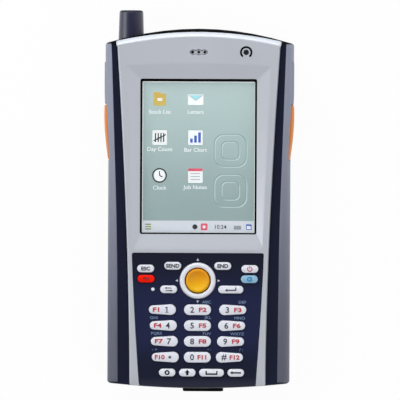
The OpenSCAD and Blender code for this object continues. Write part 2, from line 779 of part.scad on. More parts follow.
module display_gasket() color("#101217") difference() {
    window_prism(panel_overlap, panel_z1, cover_z0);
    window_prism(-frame_line, panel_z1 - 1, cover_z0 + 1, 0.6);
}

// --- Electronics ---

module main_board() color("#1f6b3a") difference() {
    block(-board_half_w, board_half_w, body_y0 + wall + board_low_gap, body_y1 - wall - board_top_gap,
        board_z0, board_z1);
    for (s = screws) post(s[0], s[1], screw_d + 0.4, board_z0 - 1, board_z1 + 1);
}

module receiver() color("#6a6d72") post(0, receiver_y, receiver_d, deck_z0 - receiver_t, deck_z0);

module loudspeaker() color("#45474c") post(-speaker_x, speaker_y(), speaker_d, back_wall, back_wall + speaker_t);

module microphone() color("#b0a080")
    y_rod(mic_x, body_y0 + wall / 2 + 0.2, body_y0 + wall + 2.4, mic_z, mic_d / 2 - 0.05);

module led_lenses() color("#e8ecf2") {
    post(status_led_x, receiver_y, status_led_d, deck_z0 - 1, cover_z1 - 0.1);
    post(keypad_led()[0], keypad_led()[1], keypad_led_d, board_z1 + mat_t, plate_z1 + 0.1);
}

module scan_engine() color("#2a2c31") {
    block(-engine_w / 2, engine_w / 2, engine_y1() - engine_l, engine_y1(), back_wall, back_wall + engine_h);
    y_rod(-engine_w / 5, engine_y1() - 1, engine_y1() + 2, scan_z(), 3);
}

module scan_window() color("#5a1018") intersection() {
    scan_recess(0, -0.05);
    form(0, split_z, 0, 0.15);
}

module side_switches() color("#c9ccd2") for (side = [-1, 1], y = switch_ys())
    translate([side < 0 ? -board_half_w : board_half_w - switch_w, 0, 0])
        block(0, switch_w, y - switch_l / 2, y + switch_l / 2, board_z1, board_z1 + switch_h);

function switch_ys() = [(trigger_y0 + trigger_y1) / 2, (side_key_y0 + side_key_y1) / 2];

module dock_connector() color("#22252b") translate([port_cover_x, 0, 0]) {
    face_y = body_y0 + 1;
    pitch = dock_w / 8;
    block(-dock_w / 2, dock_w / 2, face_y, face_y + dock_l, dock_z() - dock_h / 2, dock_z() + dock_h / 2);
    for (i = [-3 : 3])
        block(i * pitch - dock_contact_w / 2, i * pitch + dock_contact_w / 2, face_y - 0.3, face_y,
            dock_z() - dock_h / 4, dock_z() + dock_h / 4);
}

// --- Antenna ---

module antenna() color("#2b2f45") {
    base = antenna_seat_y() + 0.05;
    length = body_y1 + antenna_out - base;
    tip = antenna_tip_d / 2;
    translate([-antenna_x, base, antenna_z]) rotate([-90, 0, 0]) rotate_extrude()
        polygon(concat(
            [[0, -antenna_neck_l], [antenna_neck_d / 2 - 0.05, -antenna_neck_l], [antenna_neck_d / 2 - 0.05, 0],
                [antenna_d / 2, 0]],
            [for (i = [0 : 4]) let (a = 90 * i / 4)
                [tip - antenna_tip_r * (1 - cos(a)), length - antenna_tip_r * (1 - sin(a))]],
            [[0, length]]));
}

// --- Keypad ---

row_ys = [for (i = [0 : 3]) first_row_y - i * (key_h + row_gap)];
function col_x(i) = key_w + col_gap_top + (col_gap_low - col_gap_top) * i / 3;
function pair_x(y) = plate_half(y) - fn_side_margin - fn_key_w / 2;
pair_y1 = nav_y + nav_r - 2.9;
pair_y0 = pair_y1 - fn_key_h - fn_pair_gap;
call_x = nav_r + fn_key_w / 2 - 0.7;
call_y = nav_y + nav_r - 1.55;
under_y = nav_y - fn_key_h / 2 - 2.35;
low_row_x0 = low_row_shift - (3 * low_key_w + space_key_w + 3 * low_key_gap) / 2;
low_step = low_key_w + low_key_gap;
function keypad_led() = [-(nav_r + nav_side_gap + fn_key_w + 3.5), under_y];

number_names = [["key_1", "key_2", "key_3"], ["key_4", "key_5", "key_6"], ["key_7", "key_8", "key_9"],
    ["key_star", "key_0", "key_hash"]];
key_white = "#dcdfea";

// Each key: name, x, y, width, height at its left end, height at its right end, colour
KEYS = concat(
    [
        ["key_esc", -pair_x(pair_y1), pair_y1, fn_key_w, fn_key_h, fn_key_h, key_white],
        ["key_fn", -pair_x(pair_y0), pair_y0, fn_key_w, fn_key_h, fn_key_h, "#e03020"],
        ["key_power", pair_x(pair_y1), pair_y1, fn_key_w, fn_key_h, fn_key_h, key_white],
        ["key_alpha", pair_x(pair_y0), pair_y0, fn_key_w, fn_key_h, fn_key_h, "#7fc4e8"],
        ["key_send", -call_x, call_y, fn_key_w, fn_key_h, fn_key_h, key_white],
        ["key_end", call_x, call_y, fn_key_w, fn_key_h, fn_key_h, key_white],
        ["key_tab", -(nav_r + nav_side_gap + fn_key_w / 2), under_y, fn_key_w, fn_key_h, fn_key_h, key_white],
        ["key_enter", nav_r + nav_side_gap + enter_key_w / 2, under_y, enter_key_w, fn_key_h, fn_key_h, key_white]
    ],
    [for (i = [0 : 3]) for (j = [-1 : 1])
        [number_names[i][j + 1], j * col_x(i), row_ys[i], key_w,
            j < 0 ? key_h_outer : key_h, j > 0 ? key_h_outer : key_h, key_white]],
    [
        ["key_circle", low_row_x0 + low_key_w / 2, low_row_y, low_key_w, low_key_h, low_key_h, key_white],
        ["key_shift", low_row_x0 + low_step + low_key_w / 2, low_row_y, low_key_w, low_key_h, low_key_h, key_white],
        ["key_space", low_row_x0 + 2 * low_step + space_key_w / 2, low_row_y, space_key_w, low_key_h, low_key_h,
            key_white],
        ["key_backspace", low_row_x0 + 2 * low_step + space_key_w + low_key_gap + low_key_w / 2, low_row_y,
            low_key_w, low_key_h, low_key_h, key_white]
    ]);

// Outline of a key with round ends of different heights, grown by grow
module key_outline(k, grow) {
    left_r = k[4] / 2;
    right_r = k[5] / 2;
    left_x = left_r - k[3] / 2;
    right_x = k[3] / 2 - right_r;
    translate([left_x, 0]) circle(left_r + grow);
    translate([right_x, 0]) circle(right_r + grow);
    polygon([[left_x, -left_r - grow], [right_x, -right_r - grow], [right_x, right_r + grow],
        [left_x, left_r + grow]]);
}

module key(k) color(k[6]) translate([k[1], k[2], 0]) {
    lip_z1 = plate_z0 - lip_gap;
    lip_z0 = lip_z1 - key_lip_t;
    translate([0, 0, lip_z0]) linear_extrude(key_z1 - key_edge - lip_z0) key_outline(k, 0);
    translate([0, 0, lip_z0]) linear_extrude(key_z1 - lip_z0) key_outline(k, -key_edge);
    translate([0, 0, lip_z0]) linear_extrude(key_lip_t) key_outline(k, key_lip);
    post(0, 0, plunger_d, board_z1 + mat_t + key_travel + press_gap, lip_z0 + 0.1);
}

module keypad_plate() color("#1f2642") difference() {
    prism(plate_outline(0, 0, cover_low_inset), cover_z0, plate_z1);
    prism(plate_outline(plate_rim, plate_rim, wall + 2), cover_z0 - 1, plate_z0);
    for (k = KEYS) translate([k[1], k[2], plate_z0 - 1]) linear_extrude(plate_t + 2) key_outline(k, key_gap);
    post(0, nav_y, nav_ring_d + 2 * ring_gap, plate_z0 - 1, plate_z1 + 1);
    post(keypad_led()[0], keypad_led()[1], keypad_led_d, plate_z0 - 1, plate_z1 + 1);
}

ring_inner_r = scan_key_d / 2 + scan_key_gap;
ring_z0 = plate_z0 - tilt_room - 0.95;
ring_lip_r = nav_r + 0.75;
gimbal_t = 0.6;
gimbal_z1 = ring_z0 - 0.55;
gimbal_z0 = gimbal_z1 - gimbal_t;
gimbal_r0 = ring_inner_r + 0.75;
gimbal_r1 = nav_r + 0.3;
mat_z1 = board_z1 + mat_t;
nub_d = 1.2;

module nav_ring() color("#d4d8e4") translate([0, nav_y, 0]) {
    top = plate_z1 + key_proud - 0.1;
    rotate_extrude() polygon([
        [ring_inner_r, ring_z0], [ring_lip_r, ring_z0], [ring_lip_r, ring_z0 + 0.9], [nav_r, ring_z0 + 0.9],
        [nav_r, top - 0.7], [nav_r - 0.3, top - 0.2], [nav_r - 0.9, top], [ring_inner_r + 0.8, top - 0.2],
        [ring_inner_r, top - 0.9]]);
}

// Gimbal under the ring: rocks left and right on two nubs below it, and the ring rocks
// up and down on the two nubs above it
module nav_pivot() color("#3b3f4a") translate([0, nav_y, 0]) {
    mid_r = (gimbal_r0 + gimbal_r1) / 2;
    difference() {
        post(0, 0, 2 * gimbal_r1, gimbal_z0, gimbal_z1);
        post(0, 0, 2 * gimbal_r0, gimbal_z0 - 1, gimbal_z1 + 1);
    }
    for (side = [-1, 1]) {
        post(side * mid_r, 0, nub_d, gimbal_z1 - 0.1, ring_z0 - 0.05);
        post(0, side * mid_r, nub_d, gimbal_z0 - 0.5, gimbal_z0 + 0.1);
    }
}

module scan_key() color("#f0ac1c") translate([0, nav_y, 0]) {
    lip_r = (ring_inner_r + gimbal_r0) / 2;
    dish_r = 22;
    top = key_z1 + 0.3;
    difference() {
        union() {
            post(0, 0, scan_key_d, ring_z0 - 1.5, top - 0.5);
            translate([0, 0, top - 0.5]) cylinder(d1 = scan_key_d, d2 = scan_key_d - 1, h = 0.5);
        }
        translate([0, 0, top - 0.5 + dish_r]) sphere(dish_r);
    }
    post(0, 0, 2 * lip_r, ring_z0 - 1.5, ring_z0 - 0.9);
    post(0, 0, 5, mat_z1 + key_travel + press_gap, ring_z0 - 1.4);
}

module keypad_mat() color("#b9bcc4") {
    mid_r = (gimbal_r0 + gimbal_r1) / 2;
    difference() {
        block(-plate_half_low + 1, plate_half_low - 1, low_row_y - low_key_h / 2 - 0.5, plate_y1 - 2.5,
            board_z1, mat_z1);
        post(keypad_led()[0], keypad_led()[1], keypad_led_d, board_z1 - 1, mat_z1 + 1);
    }
    translate([0, nav_y, 0]) difference() {
        post(0, 0, 2 * mid_r + 1.6, mat_z1 - 0.1, gimbal_z0 - 0.55);
        post(0, 0, 2 * mid_r - 1.6, mat_z1, gimbal_z0);
    }
}

// --- Side controls ---

// Outline of a side control, seen from the front: straight inside the wall and with a curved face
// outside, which is pulled in by sink
module side_control_outline(y0, y1, bulge, sink = 0) {
    steps = 8;
    face = [for (i = [0 : steps]) let (t = i / steps, y = y0 + (y1 - y0) * t) [body_half(y) + bulge(t) - sink, y]];
    polygon(concat([[side_flange_x, y0]], face, [[side_flange_x, y1]]));
}

// A trigger or side key: face, flange that holds it in, and a nub in line with its switch
module side_control(y0, y1, bulge, flange_low, flange_high) {
    z0 = side_z - side_control_h / 2;
    hull() {
        translate([0, 0, z0 + 1]) linear_extrude(side_control_h - 2) side_control_outline(y0, y1, bulge);
        translate([0, 0, z0]) linear_extrude(side_control_h) side_control_outline(y0 + 0.3, y1 - 0.3, bulge, 1);
    }
    block(side_flange_x, side_flange_x + side_flange_t, y0 - flange_low, y1 + flange_high,
        z0 - side_gap - side_flange_reach, z0 + side_control_h + side_gap + side_flange_reach);
    x_rod(board_half_w + press_gap + side_travel, side_flange_x + 0.1, (y0 + y1) / 2, board_z1 + switch_h / 2, 0.8);
}

module trigger_right() side_control(trigger_y0, trigger_y1,
    function (t) trigger_proud * (1 - pow((t - 0.58) / 0.62, 2)), side_flange_reach, 0);

module side_key_right() side_control(side_key_y0, side_key_y1,
    function (t) side_key_proud, 0, side_flange_reach);

module left_trigger() color("#f08a1c") mirror([1, 0, 0]) trigger_right();
module right_trigger() color("#f08a1c") trigger_right();
module left_side_key() color("#8f96a3") mirror([1, 0, 0]) side_key_right();
module right_side_key() color("#7d8090") side_key_right();

// --- Battery ---

module battery_pack() color("#2d3036")
    block(-battery_w / 2, battery_w / 2, battery_y0, battery_y1, battery_z0, battery_z1);

module battery_contacts() color("#d9b04a") for (i = [-1 : 1])
    block(i * 6 - 1.5, i * 6 + 1.5, battery_y1 + 0.1, bay_y1, battery_z0 + 3, battery_z0 + 6);

module battery_door() color("#1b1d24") difference() {
    union() {
        block(-door_half_w, door_half_w, door_axis_y, door_y1, door_z0, door_z1);
        x_rod(door_gap - bay_half_w, bay_half_w - door_gap, door_axis_y, door_axis_z, door_barrel_r);
    }
    x_rod(-door_half_w - 1, door_half_w + 1, door_axis_y, door_axis_z, door_pin_r + pin_gap);
    block(-catch_w / 2 - door_gap, catch_w / 2 + door_gap, door_y1 - catch_reach - door_gap, door_y1 + 1,
        -1, catch_z1() + seat_gap);
}

module door_pin() color("#a5a8ad") x_rod(-door_pin_half, door_pin_half, door_axis_y, door_axis_z, door_pin_r);

function catch_z1() = door_z0 + 0.55;

// Leaf spring behind the end wall of the battery bay, hooked under the door's free edge
module door_catch() color("#b5b8bd") {
    y0 = bay_y1 + bay_wall;
    block(-catch_w / 2, catch_w / 2, y0, y0 + catch_t, door_z0 + 0.1, back_wall + 5);
    block(-catch_w / 2, catch_w / 2, door_y1 - catch_reach, y0 + catch_t, door_z0 + 0.1, catch_z1());
}

// --- Port cover ---

module port_cover() color("#0f1115") translate([port_cover_x, 0, 0]) difference() {
    y0 = body_y0 - port_cover_out;
    union() {
        difference() {
            block(-port_cover_w / 2, port_cover_w / 2, y0, body_y0 - seat_gap, port_pin_z, port_pin_z + port_cover_h);
            for (side = [-1, 1]) lug_slot(side);
        }
        difference() {
            x_rod(-port_cover_w / 2, port_cover_w / 2, port_pin_y, port_pin_z, port_barrel_r);
            for (side = [-1, 1]) lug_slot(side);
        }
    }
    x_rod(-port_cover_w, port_cover_w, port_pin_y, port_pin_z, port_pin_r + pin_gap);
}

// Notch in the port cover for one lug of the housing
module lug_slot(side) {
    translate([side * port_lug_x - port_lug_w / 2 - 0.15, 0, 0])
        block(0, port_lug_w + 0.3, body_y0 - 5, body_y0 + 1, port_pin_z - 2, port_pin_z + port_barrel_r + 0.3);
}

module port_cover_pin() color("#a5a8ad") translate([port_cover_x, 0, 0])
    x_rod(-port_cover_w / 2 + 0.3, port_cover_w / 2 - 0.3, port_pin_y, port_pin_z, port_pin_r);

front_cover();
front_housing();
rear_housing();
keypad_plate();
left_grip();
right_grip();
housing_seal();
housing_screws();
antenna();
touch_panel();
lcd_module();
display_gasket();
main_board();
keypad_mat();
receiver();
loudspeaker();
microphone();
led_lenses();
scan_engine();
scan_window();
side_switches();
dock_connector();
nav_ring();
nav_pivot();
scan_key();
left_trigger();
right_trigger();
left_side_key();
right_side_key();
battery_pack();
battery_contacts();
battery_door();
door_pin();
door_catch();
port_cover();
port_cover_pin();
for (k = KEYS) key(k);
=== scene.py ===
"""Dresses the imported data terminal: moulded shells, domed keys, a lit display and printed signs.

Shapes are worked out in millimetres and turned into metres where a mesh is made.
"""
import json
import math

import bmesh
import bpy
import numpy as np
from mathutils import Matrix, Vector
from mathutils.geometry import delaunay_2d_cdt

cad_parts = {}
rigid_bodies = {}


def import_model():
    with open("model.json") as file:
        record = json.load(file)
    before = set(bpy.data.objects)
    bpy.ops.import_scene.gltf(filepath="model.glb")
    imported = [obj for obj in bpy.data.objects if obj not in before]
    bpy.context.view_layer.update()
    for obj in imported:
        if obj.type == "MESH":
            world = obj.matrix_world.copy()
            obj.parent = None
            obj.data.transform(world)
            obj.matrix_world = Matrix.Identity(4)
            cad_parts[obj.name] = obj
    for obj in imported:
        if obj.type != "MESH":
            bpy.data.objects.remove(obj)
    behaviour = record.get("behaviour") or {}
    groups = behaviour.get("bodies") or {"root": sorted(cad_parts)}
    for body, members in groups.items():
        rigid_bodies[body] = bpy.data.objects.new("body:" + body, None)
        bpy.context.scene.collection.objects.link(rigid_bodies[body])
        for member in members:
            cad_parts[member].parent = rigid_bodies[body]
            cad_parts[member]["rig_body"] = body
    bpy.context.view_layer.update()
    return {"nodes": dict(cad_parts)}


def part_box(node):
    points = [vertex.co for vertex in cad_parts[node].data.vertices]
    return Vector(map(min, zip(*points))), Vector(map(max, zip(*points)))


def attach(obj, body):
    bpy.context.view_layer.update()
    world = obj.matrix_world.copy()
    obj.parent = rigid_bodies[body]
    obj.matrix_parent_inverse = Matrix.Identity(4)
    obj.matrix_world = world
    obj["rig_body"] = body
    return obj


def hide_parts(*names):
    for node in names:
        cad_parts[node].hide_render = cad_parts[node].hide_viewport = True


MM = 0.001
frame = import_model()


def box_mm(node):
    """Lowest and highest corner of a node of the frame, in millimetres."""
    low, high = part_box(node)
    return np.array(low) / MM, np.array(high) / MM


# --- Dimensions, in millimetres ---

shell_low, shell_high = box_mm("front_housing")
cover_low, cover_high = box_mm("front_cover")
plate_low, plate_high = box_mm("keypad_plate")
panel_low, panel_high = box_mm("touch_panel")
ring_low, ring_high = box_mm("nav_ring")
scan_low, scan_high = box_mm("scan_key")
grip_low, grip_high = box_mm("right_grip")

BODY_Y0, BODY_Y1 = shell_low[1], shell_high[1]
BODY_LENGTH = BODY_Y1 - BODY_Y0
STRIP_Z = shell_high[2]
FRONT_ROUND = 9.0
BACK_ROUND = 13.0
BACK_INSET = 10.0
LOW_ARC = 383.0
COVER_ARC = 175.0
LOW_INSET, TOP_INSET = plate_low[1] - BODY_Y0, BODY_Y1 - cover_high[1] + 0.2

PANEL_OVERLAP = 1.9
WINDOW_HALF = panel_high[0] - PANEL_OVERLAP
WINDOW_Y0 = panel_low[1] + PANEL_OVERLAP
WINDOW_Y1 = panel_high[1] - PANEL_OVERLAP
WINDOW_Y = (WINDOW_Y0 + WINDOW_Y1) / 2
WINDOW_LENGTH = WINDOW_Y1 - WINDOW_Y0
WINDOW_CORNER = 1.0
# The dark border round the view is FRAME_LINE wide at the sides and TOP_LINE wider at the top. It is drawn
# wider than the print alone to take in the shadow of the cover's lip, so it is partly print and partly
# painted shadow.
FRAME_LINE = 1.0
TOP_LINE = 0.3

COVER_Z0, COVER_Z1 = cover_low[2], cover_high[2]
PLATE_Z0, PLATE_Z1 = plate_low[2], plate_high[2]
PLATE_Y1 = plate_high[1]
PLATE_T = 1.6
SEAT_GAP = 0.1

BODY_HALF = (43.1, 44.6)
STRIP_HALF = (37.7, 41.7)
COVER_HALF = (32.3, 39.3)
PLATE_HALF = (27.4, plate_high[0])

KEY_LIP = 0.35
KEY_LIP_T = 0.9
PLUNGER_R = 1.2
NAV_Y = (ring_low[1] + ring_high[1]) / 2
RECEIVER_Y = BODY_Y1 - 11.3
HOLE_STEP = 2.9
STATUS_X = 22.5


def smooth(t):
    """Three t squared minus two t cubed, with t held between 0 and 1."""
    t = np.clip(t, 0, 1)
    return t * t * (3 - 2 * t)


def rounding(u):
    """Drop of a quarter circle of radius 1 at distance u from its top: 1 minus the root of 1 - u squared."""
    return 1 - np.sqrt(np.clip(1 - np.square(u), 0, 1))


def along(y):
    """Share of the body's length below y."""
    return np.clip((y - BODY_Y0) / BODY_LENGTH, 0, 1)


def between(pair, share):
    """Value at a share of the way from the pair's first value to its second."""
    return pair[0] + (pair[1] - pair[0]) * share


def body_half(y):
    """Half width of the body: from its lower to its upper value in one smooth step beside the window."""
    return between(BODY_HALF, smooth((y - WINDOW_Y0) / (0.5 * WINDOW_LENGTH) - 0.9))


def strip_half(y):
    """Half width at the outer edge of the dark strips: grows with the square of the height."""
    return between(STRIP_HALF, along(y) ** 2)


def cover_half(y):
    """Half width of the silver cover: grows with the height to the power 1.7."""
    return between(COVER_HALF, along(y) ** 1.7)


def plate_half(y):
    """Half width of the keypad panel: shrinks downwards with the depth to the power 1.25."""
    t = np.clip((PLATE_Y1 - y) / (PLATE_Y1 - BODY_Y0), 0, 1)
    return between(PLATE_HALF[::-1], t ** 1.25)


def low_end(x, inset=LOW_INSET):
    """Place of the front's low end: an arc, so it rises with the square of x."""
    return BODY_Y0 + inset + x ** 2 / (2 * LOW_ARC)


def top_end(x, inset):
    """Place of the cover's top end: an arc, so it falls with the square of x."""
    return BODY_Y1 - inset - x ** 2 / (2 * COVER_ARC)


def side_surface(y, z):
    """Half width of the outer form at height z: straight, with an ellipse's quarter at the front and back."""
    front = rounding(np.clip((z - (STRIP_Z - FRONT_ROUND)) / FRONT_ROUND, 0, 1))
    back = rounding(np.clip((BACK_ROUND - z) / BACK_ROUND, 0, 1))
    return body_half(y) - front * (body_half(y) - strip_half(y)) - back * BACK_INSET


# --- Outlines: arrays of points, anticlockwise ---

def arc(centre, radius, start, stop, count):
    """Points on a circle from the start angle to the stop angle, in degrees."""
    a = np.radians(np.linspace(start, stop, count))
    return np.column_stack([centre[0] + radius * np.cos(a), centre[1] + radius * np.sin(a)])


def quarter(count):
    """Steps down a quarter circle of radius 1, from its foot: how far each is drawn in and below the top."""
    a = np.radians(np.linspace(0, 90, count))
    return np.column_stack([1 - np.cos(a), 1 - np.sin(a)])


def line(a, b, count, ends=False):
    """Points between a and b, without the two ends unless they are asked for."""
    t = np.linspace(0, 1, count + 2)[:, None]
    points = np.array(a) + t * (np.array(b) - np.array(a))
    return points if ends else points[1:-1]


def mirrored(right):
    """Closed outline from its right half, which runs from the middle line to the middle line."""
    return np.vstack([right, right[-2:0:-1] * [-1, 1]])


def circle(centre, radius, count=48):
    """Closed circle."""
    return arc(centre, radius, 0, 360, count + 1)[:-1]


def rounded_frame(low_x, high_x, y0, y1, low_r, high_r, straight=12, corner=7, arch=0.0):
    """Outline about x = 0 with half widths low_x and high_x at its lower and upper side, and round corners.

    The upper side rises by arch in its middle, and less with the square of the distance from there.
    """
    top = line((high_x - high_r, y1), (high_r - high_x, y1), straight)
    top[:, 1] += arch * (1 - (top[:, 0] / high_x) ** 2)
    return np.vstack([
        line((low_r - low_x, y0), (low_x - low_r, y0), straight),
        arc((low_x - low_r, y0 + low_r), low_r, -90, 0, corner),
        line((low_x, y0 + low_r), (high_x, y1 - high_r), straight),
        arc((high_x - high_r, y1 - high_r), high_r, 0, 90, corner),
        top,
        arc((high_r - high_x, y1 - high_r), high_r, 90, 180, corner),
        line((-high_x, y1 - high_r), (-low_x, y0 + low_r), straight),
        arc((low_r - low_x, y0 + low_r), low_r, 180, 270, corner)])


def rounded_box(half_x, y0, y1, radius, straight=12, corner=7):
    """Outline of a rectangle with round corners, centred on x = 0."""
    return rounded_frame(half_x, half_x, y0, y1, radius, radius, straight, corner)


def cover_outline(side, top, low, inner):
    """Outline of the cover: along the keypad's upper edge, round each leg, up the side and over the top arc.

    side, top and low pull in the outer edges, and inner widens the keypad opening.
    """
    corner, leg_corner, keypad_corner = 0.8, 0.5, 1.0
    opening = SEAT_GAP + inner
    edge_y = PLATE_Y1 + opening
    edge_x = plate_half(PLATE_Y1) + opening
    leg_x = plate_half(BODY_Y0) + opening
    leg_y = low_end(leg_x + leg_corner, low)
    out_x = cover_half(BODY_Y0) - side - corner
    out_y = low_end(out_x, low)
    top_x = cover_half(BODY_Y1) - side - corner
    top_y = top_end(top_x, top)
    down = np.linspace(edge_y - keypad_corner, leg_y + leg_corner, 40)
    foot = np.linspace(leg_x + leg_corner, out_x, 6)[1:-1]
    up = np.linspace(out_y + corner, top_y - corner, 70)
    over = np.linspace(top_x, 0, 40)[1:]
    return mirrored(np.vstack([
        line((-1e-9, edge_y), (edge_x - keypad_corner, edge_y), 20, True)[:-1],
        arc((edge_x - keypad_corner, edge_y - keypad_corner), keypad_corner, 90, 0, 8)[:-1],
        np.column_stack([plate_half(down) + opening, down]),
        arc((leg_x + leg_corner, leg_y + leg_corner), leg_corner, 180, 270, 6)[1:],
        np.column_stack([foot, low_end(foot, low)]),
        arc((out_x, out_y + corner), corner, -90, 0, 7)[:-1],
        np.column_stack([cover_half(up) - side, up]),
        arc((top_x, top_y - corner), corner, 0, 90, 7)[1:-1],
        np.column_stack([over, top_end(over, top)])]))


def plate_outline(inset, low):
    """Outline of the keypad panel: the low arc, the leaning sides and the straight upper edge."""
    corner = 1.0
    high_y = PLATE_Y1 - inset
    low_x = plate_half(BODY_Y0) - inset - corner
    foot_y = low_end(low_x, low)
    top_x = plate_half(PLATE_Y1) - inset - corner
    foot = np.linspace(0, low_x, 24)
    up = np.linspace(foot_y + corner, high_y - corner, 40)
    return mirrored(np.vstack([
        np.column_stack([foot, low_end(foot, low)]),
        arc((low_x, foot_y + corner), corner, -90, 0, 7)[1:-1],
        np.column_stack([plate_half(up) - inset, up]),
        arc((top_x, high_y - corner), corner, 0, 90, 7)[1:-1],
        line((top_x, high_y), (0, high_y), 20, True)]))


def surround_outline(share):
    """Outline between the top of the sloping surround, at share 0, and the window, at share 1.

    Both outlines have the same points on their sides and corners, so the slopes meet in mitres.
    """
    low_x, high_x = WINDOW_HALF + 3.3, WINDOW_HALF + 7.1
    outer = rounded_frame(low_x, high_x, WINDOW_Y0 - 7.5, WINDOW_Y1 + 6.8, 1.5, 0.7, 40, arch=1.1)
    corner = WINDOW_CORNER
    inner = rounded_frame(WINDOW_HALF, WINDOW_HALF, WINDOW_Y0, WINDOW_Y1 + TOP_LINE, corner, corner, 40)
    return outer + share * (inner - outer)


def slot_outline(inset):
    """Outline of the receiver's recess: an oval whose height swells at three places."""
    half_w, half_h = 4.15 - inset, 1.2 - inset
    a = np.linspace(0, 2 * np.pi, 73)[:-1]
    swell = 1 + 0.16 * np.cos(2 * np.pi * half_w * np.cos(a) / HOLE_STEP)
    high = half_h * swell * np.sign(np.sin(a)) * np.abs(np.sin(a)) ** 0.4
    return np.column_stack([half_w * np.cos(a), RECEIVER_Y + high])


# --- Surfaces: (points, faces) ---

def at_height(outline, z):
    """Puts an outline at height z."""
    return np.column_stack([outline, np.full(len(outline), z)])


def skin(loops):
    """Surface through closed loops that all have the same number of points."""
    loops = np.array(loops)
    rows, columns = loops.shape[:2]
    i = np.arange(rows - 1)[:, None] * columns
    j = np.arange(columns)[None, :]
    k = (j + 1) % columns
    faces = np.stack([i + j, i + k, i + columns + k, i + columns + j], axis=-1)
    return loops.reshape(-1, 3), faces.reshape(-1, 4).tolist()


def tube(*levels):
    """Surface through flat outlines, each given with its height."""
    return skin([at_height(outline, z) for outline, z in levels])


def inside(points, outlines):
    """Whether each point lies inside an odd number of outlines, by counting the edges to its right."""
    result = np.zeros(len(points), bool)
    for outline in outlines:
        a, b = outline, np.roll(outline, -1, axis=0)
        x, y = points[:, :1], points[:, 1:]
        spans = (a[None, :, 1] > y) != (b[None, :, 1] > y)
        rise = np.where(a[:, 1] == b[:, 1], 1e-12, b[:, 1] - a[:, 1])
        cross = a[:, 0] + (y - a[:, 1]) * (b[:, 0] - a[:, 0]) / rise
        result ^= (spans & (x < cross)).sum(axis=1) % 2 == 1
    return result


def flat(outlines, z, up=True, extra=None):
    """Flat face inside the first outline and outside the others, as a constrained triangulation."""
    points, edges = [], []
    for outline in outlines:
        first, n = len(points), len(outline)
        points += [Vector(p) for p in outline]
        edges += [(first + i, first + (i + 1) % n) for i in range(n)]
    if extra is not None:
        points += [Vector(p) for p in extra]
    found, _, triangles, *_ = delaunay_2d_cdt(points, edges, [], 0, 1e-7, False)
    found = np.array([tuple(p) for p in found])
    triangles = np.array(triangles)
    kept = triangles[inside(found[triangles].mean(axis=1), outlines)]
    used, renumbered = np.unique(kept, return_inverse=True)
    kept = renumbered.reshape(kept.shape)
    if not up:
        kept = kept[:, ::-1]
    return at_height(found[used], z), kept.tolist()


def revolve(profile, centre, count=96):
    """Turns a profile of (radius, height) points once round the vertical line through centre."""
    a = np.linspace(0, 2 * np.pi, count, endpoint=False)
    r, z = np.array(profile).T
    x = centre[0] + r[:, None] * np.cos(a)
    y = centre[1] + r[:, None] * np.sin(a)
    return skin(np.stack([x, y, np.broadcast_to(z[:, None], x.shape)], axis=-1))


def joined(parts):
    """One list of points and faces from several surfaces, with a material number for each face."""
    points, faces, numbers, first = [], [], [], 0
    for part in parts:
        p, f = part[:2]
        points.append(np.asarray(p, float))
        faces += [[first + i for i in face] for face in f]
        numbers += [part[2] if len(part) > 2 else 0] * len(f)
        first += len(p)
    return np.vstack(points), faces, numbers


def in_scene(name, data):
    """New object of the scene with the given data."""
    thing = bpy.data.objects.new(name, data)
    bpy.context.scene.collection.objects.link(thing)
    return thing


def shade_smooth(mesh, sharp):
    """Smooth shading, but not over edges above the sharp angle, in degrees."""
    mesh.polygons.foreach_set("use_smooth", np.ones(len(mesh.polygons), bool))
    mesh.set_sharp_from_angle(angle=math.radians(sharp))


def contents(mesh):
    """Points and faces of a mesh."""
    points = np.zeros(len(mesh.vertices) * 3)
    mesh.vertices.foreach_get("co", points)
    return points.reshape(-1, 3), [list(p.vertices) for p in mesh.polygons]


def make(name, parts, body, materials, replaces=None, sharp=40, weld=True):
    """Makes a piece from surfaces, welded and smooth up to the sharp angle, and puts it on its body."""
    points, faces, numbers = joined(parts)
    mesh = bpy.data.meshes.new(name)
    mesh.from_pydata((points * MM).tolist(), [], faces)
    mesh.polygons.foreach_set("material_index", numbers)
    piece = in_scene(name, mesh)
    for material in materials if isinstance(materials, list) else [materials]:
        mesh.materials.append(material)
    if weld:
        clean = bmesh.new()
        clean.from_mesh(mesh)
        bmesh.ops.remove_doubles(clean, verts=clean.verts, dist=2e-6)
        bmesh.ops.dissolve_degenerate(clean, edges=clean.edges, dist=1e-7)
        bmesh.ops.recalc_face_normals(clean, faces=clean.faces)
        clean.to_mesh(mesh)
        clean.free()
    shade_smooth(mesh, sharp)
    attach(piece, body)
    if replaces:
        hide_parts(replaces)


def softened(node, material, width=0.0, corner=0.0):
    """Copy of a frame node, welded and smooth, with its edges rounded by width, that stands for the node.

    corner rounds the two upright edges at its low end.
    """
    sharp, tiny = 30, 1e-6
    source = frame["nodes"][node]
    mesh = source.data.copy()
    piece = in_scene(node + "_moulding", mesh)
    clean = bmesh.new()
    clean.from_mesh(mesh)
    bmesh.ops.remove_doubles(clean, verts=clean.verts, dist=tiny)
    bmesh.ops.dissolve_limit(clean, angle_limit=math.radians(1), verts=clean.verts, edges=clean.edges)
    if corner:
        end = min(v.co.y for v in clean.verts) + tiny
        upright = []
        for edge in clean.edges:
            a, b = (v.co for v in edge.verts)
            if max(a.y, b.y) < end and abs(a.z - b.z) > MM and abs(a.x - b.x) < tiny:
                upright.append(edge)
        bmesh.ops.bevel(clean, geom=upright, offset=corner * MM, segments=4, profile=0.5, affect="EDGES")
    clean.to_mesh(mesh)
    clean.free()
    mesh.materials.clear()
    mesh.materials.append(material)
    shade_smooth(mesh, sharp)
    if width:
        bevel = piece.modifiers.new("edges", "BEVEL")
        bevel.width = width * MM
        bevel.segments = 2
        bevel.limit_method = "ANGLE"
        bevel.angle_limit = math.radians(sharp)
        bevel.harden_normals = True
    else:
        piece.modifiers.new("flat_faces", "WEIGHTED_NORMAL").keep_sharp = True
    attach(piece, source["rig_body"])
    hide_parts(node)


# --- Materials ---

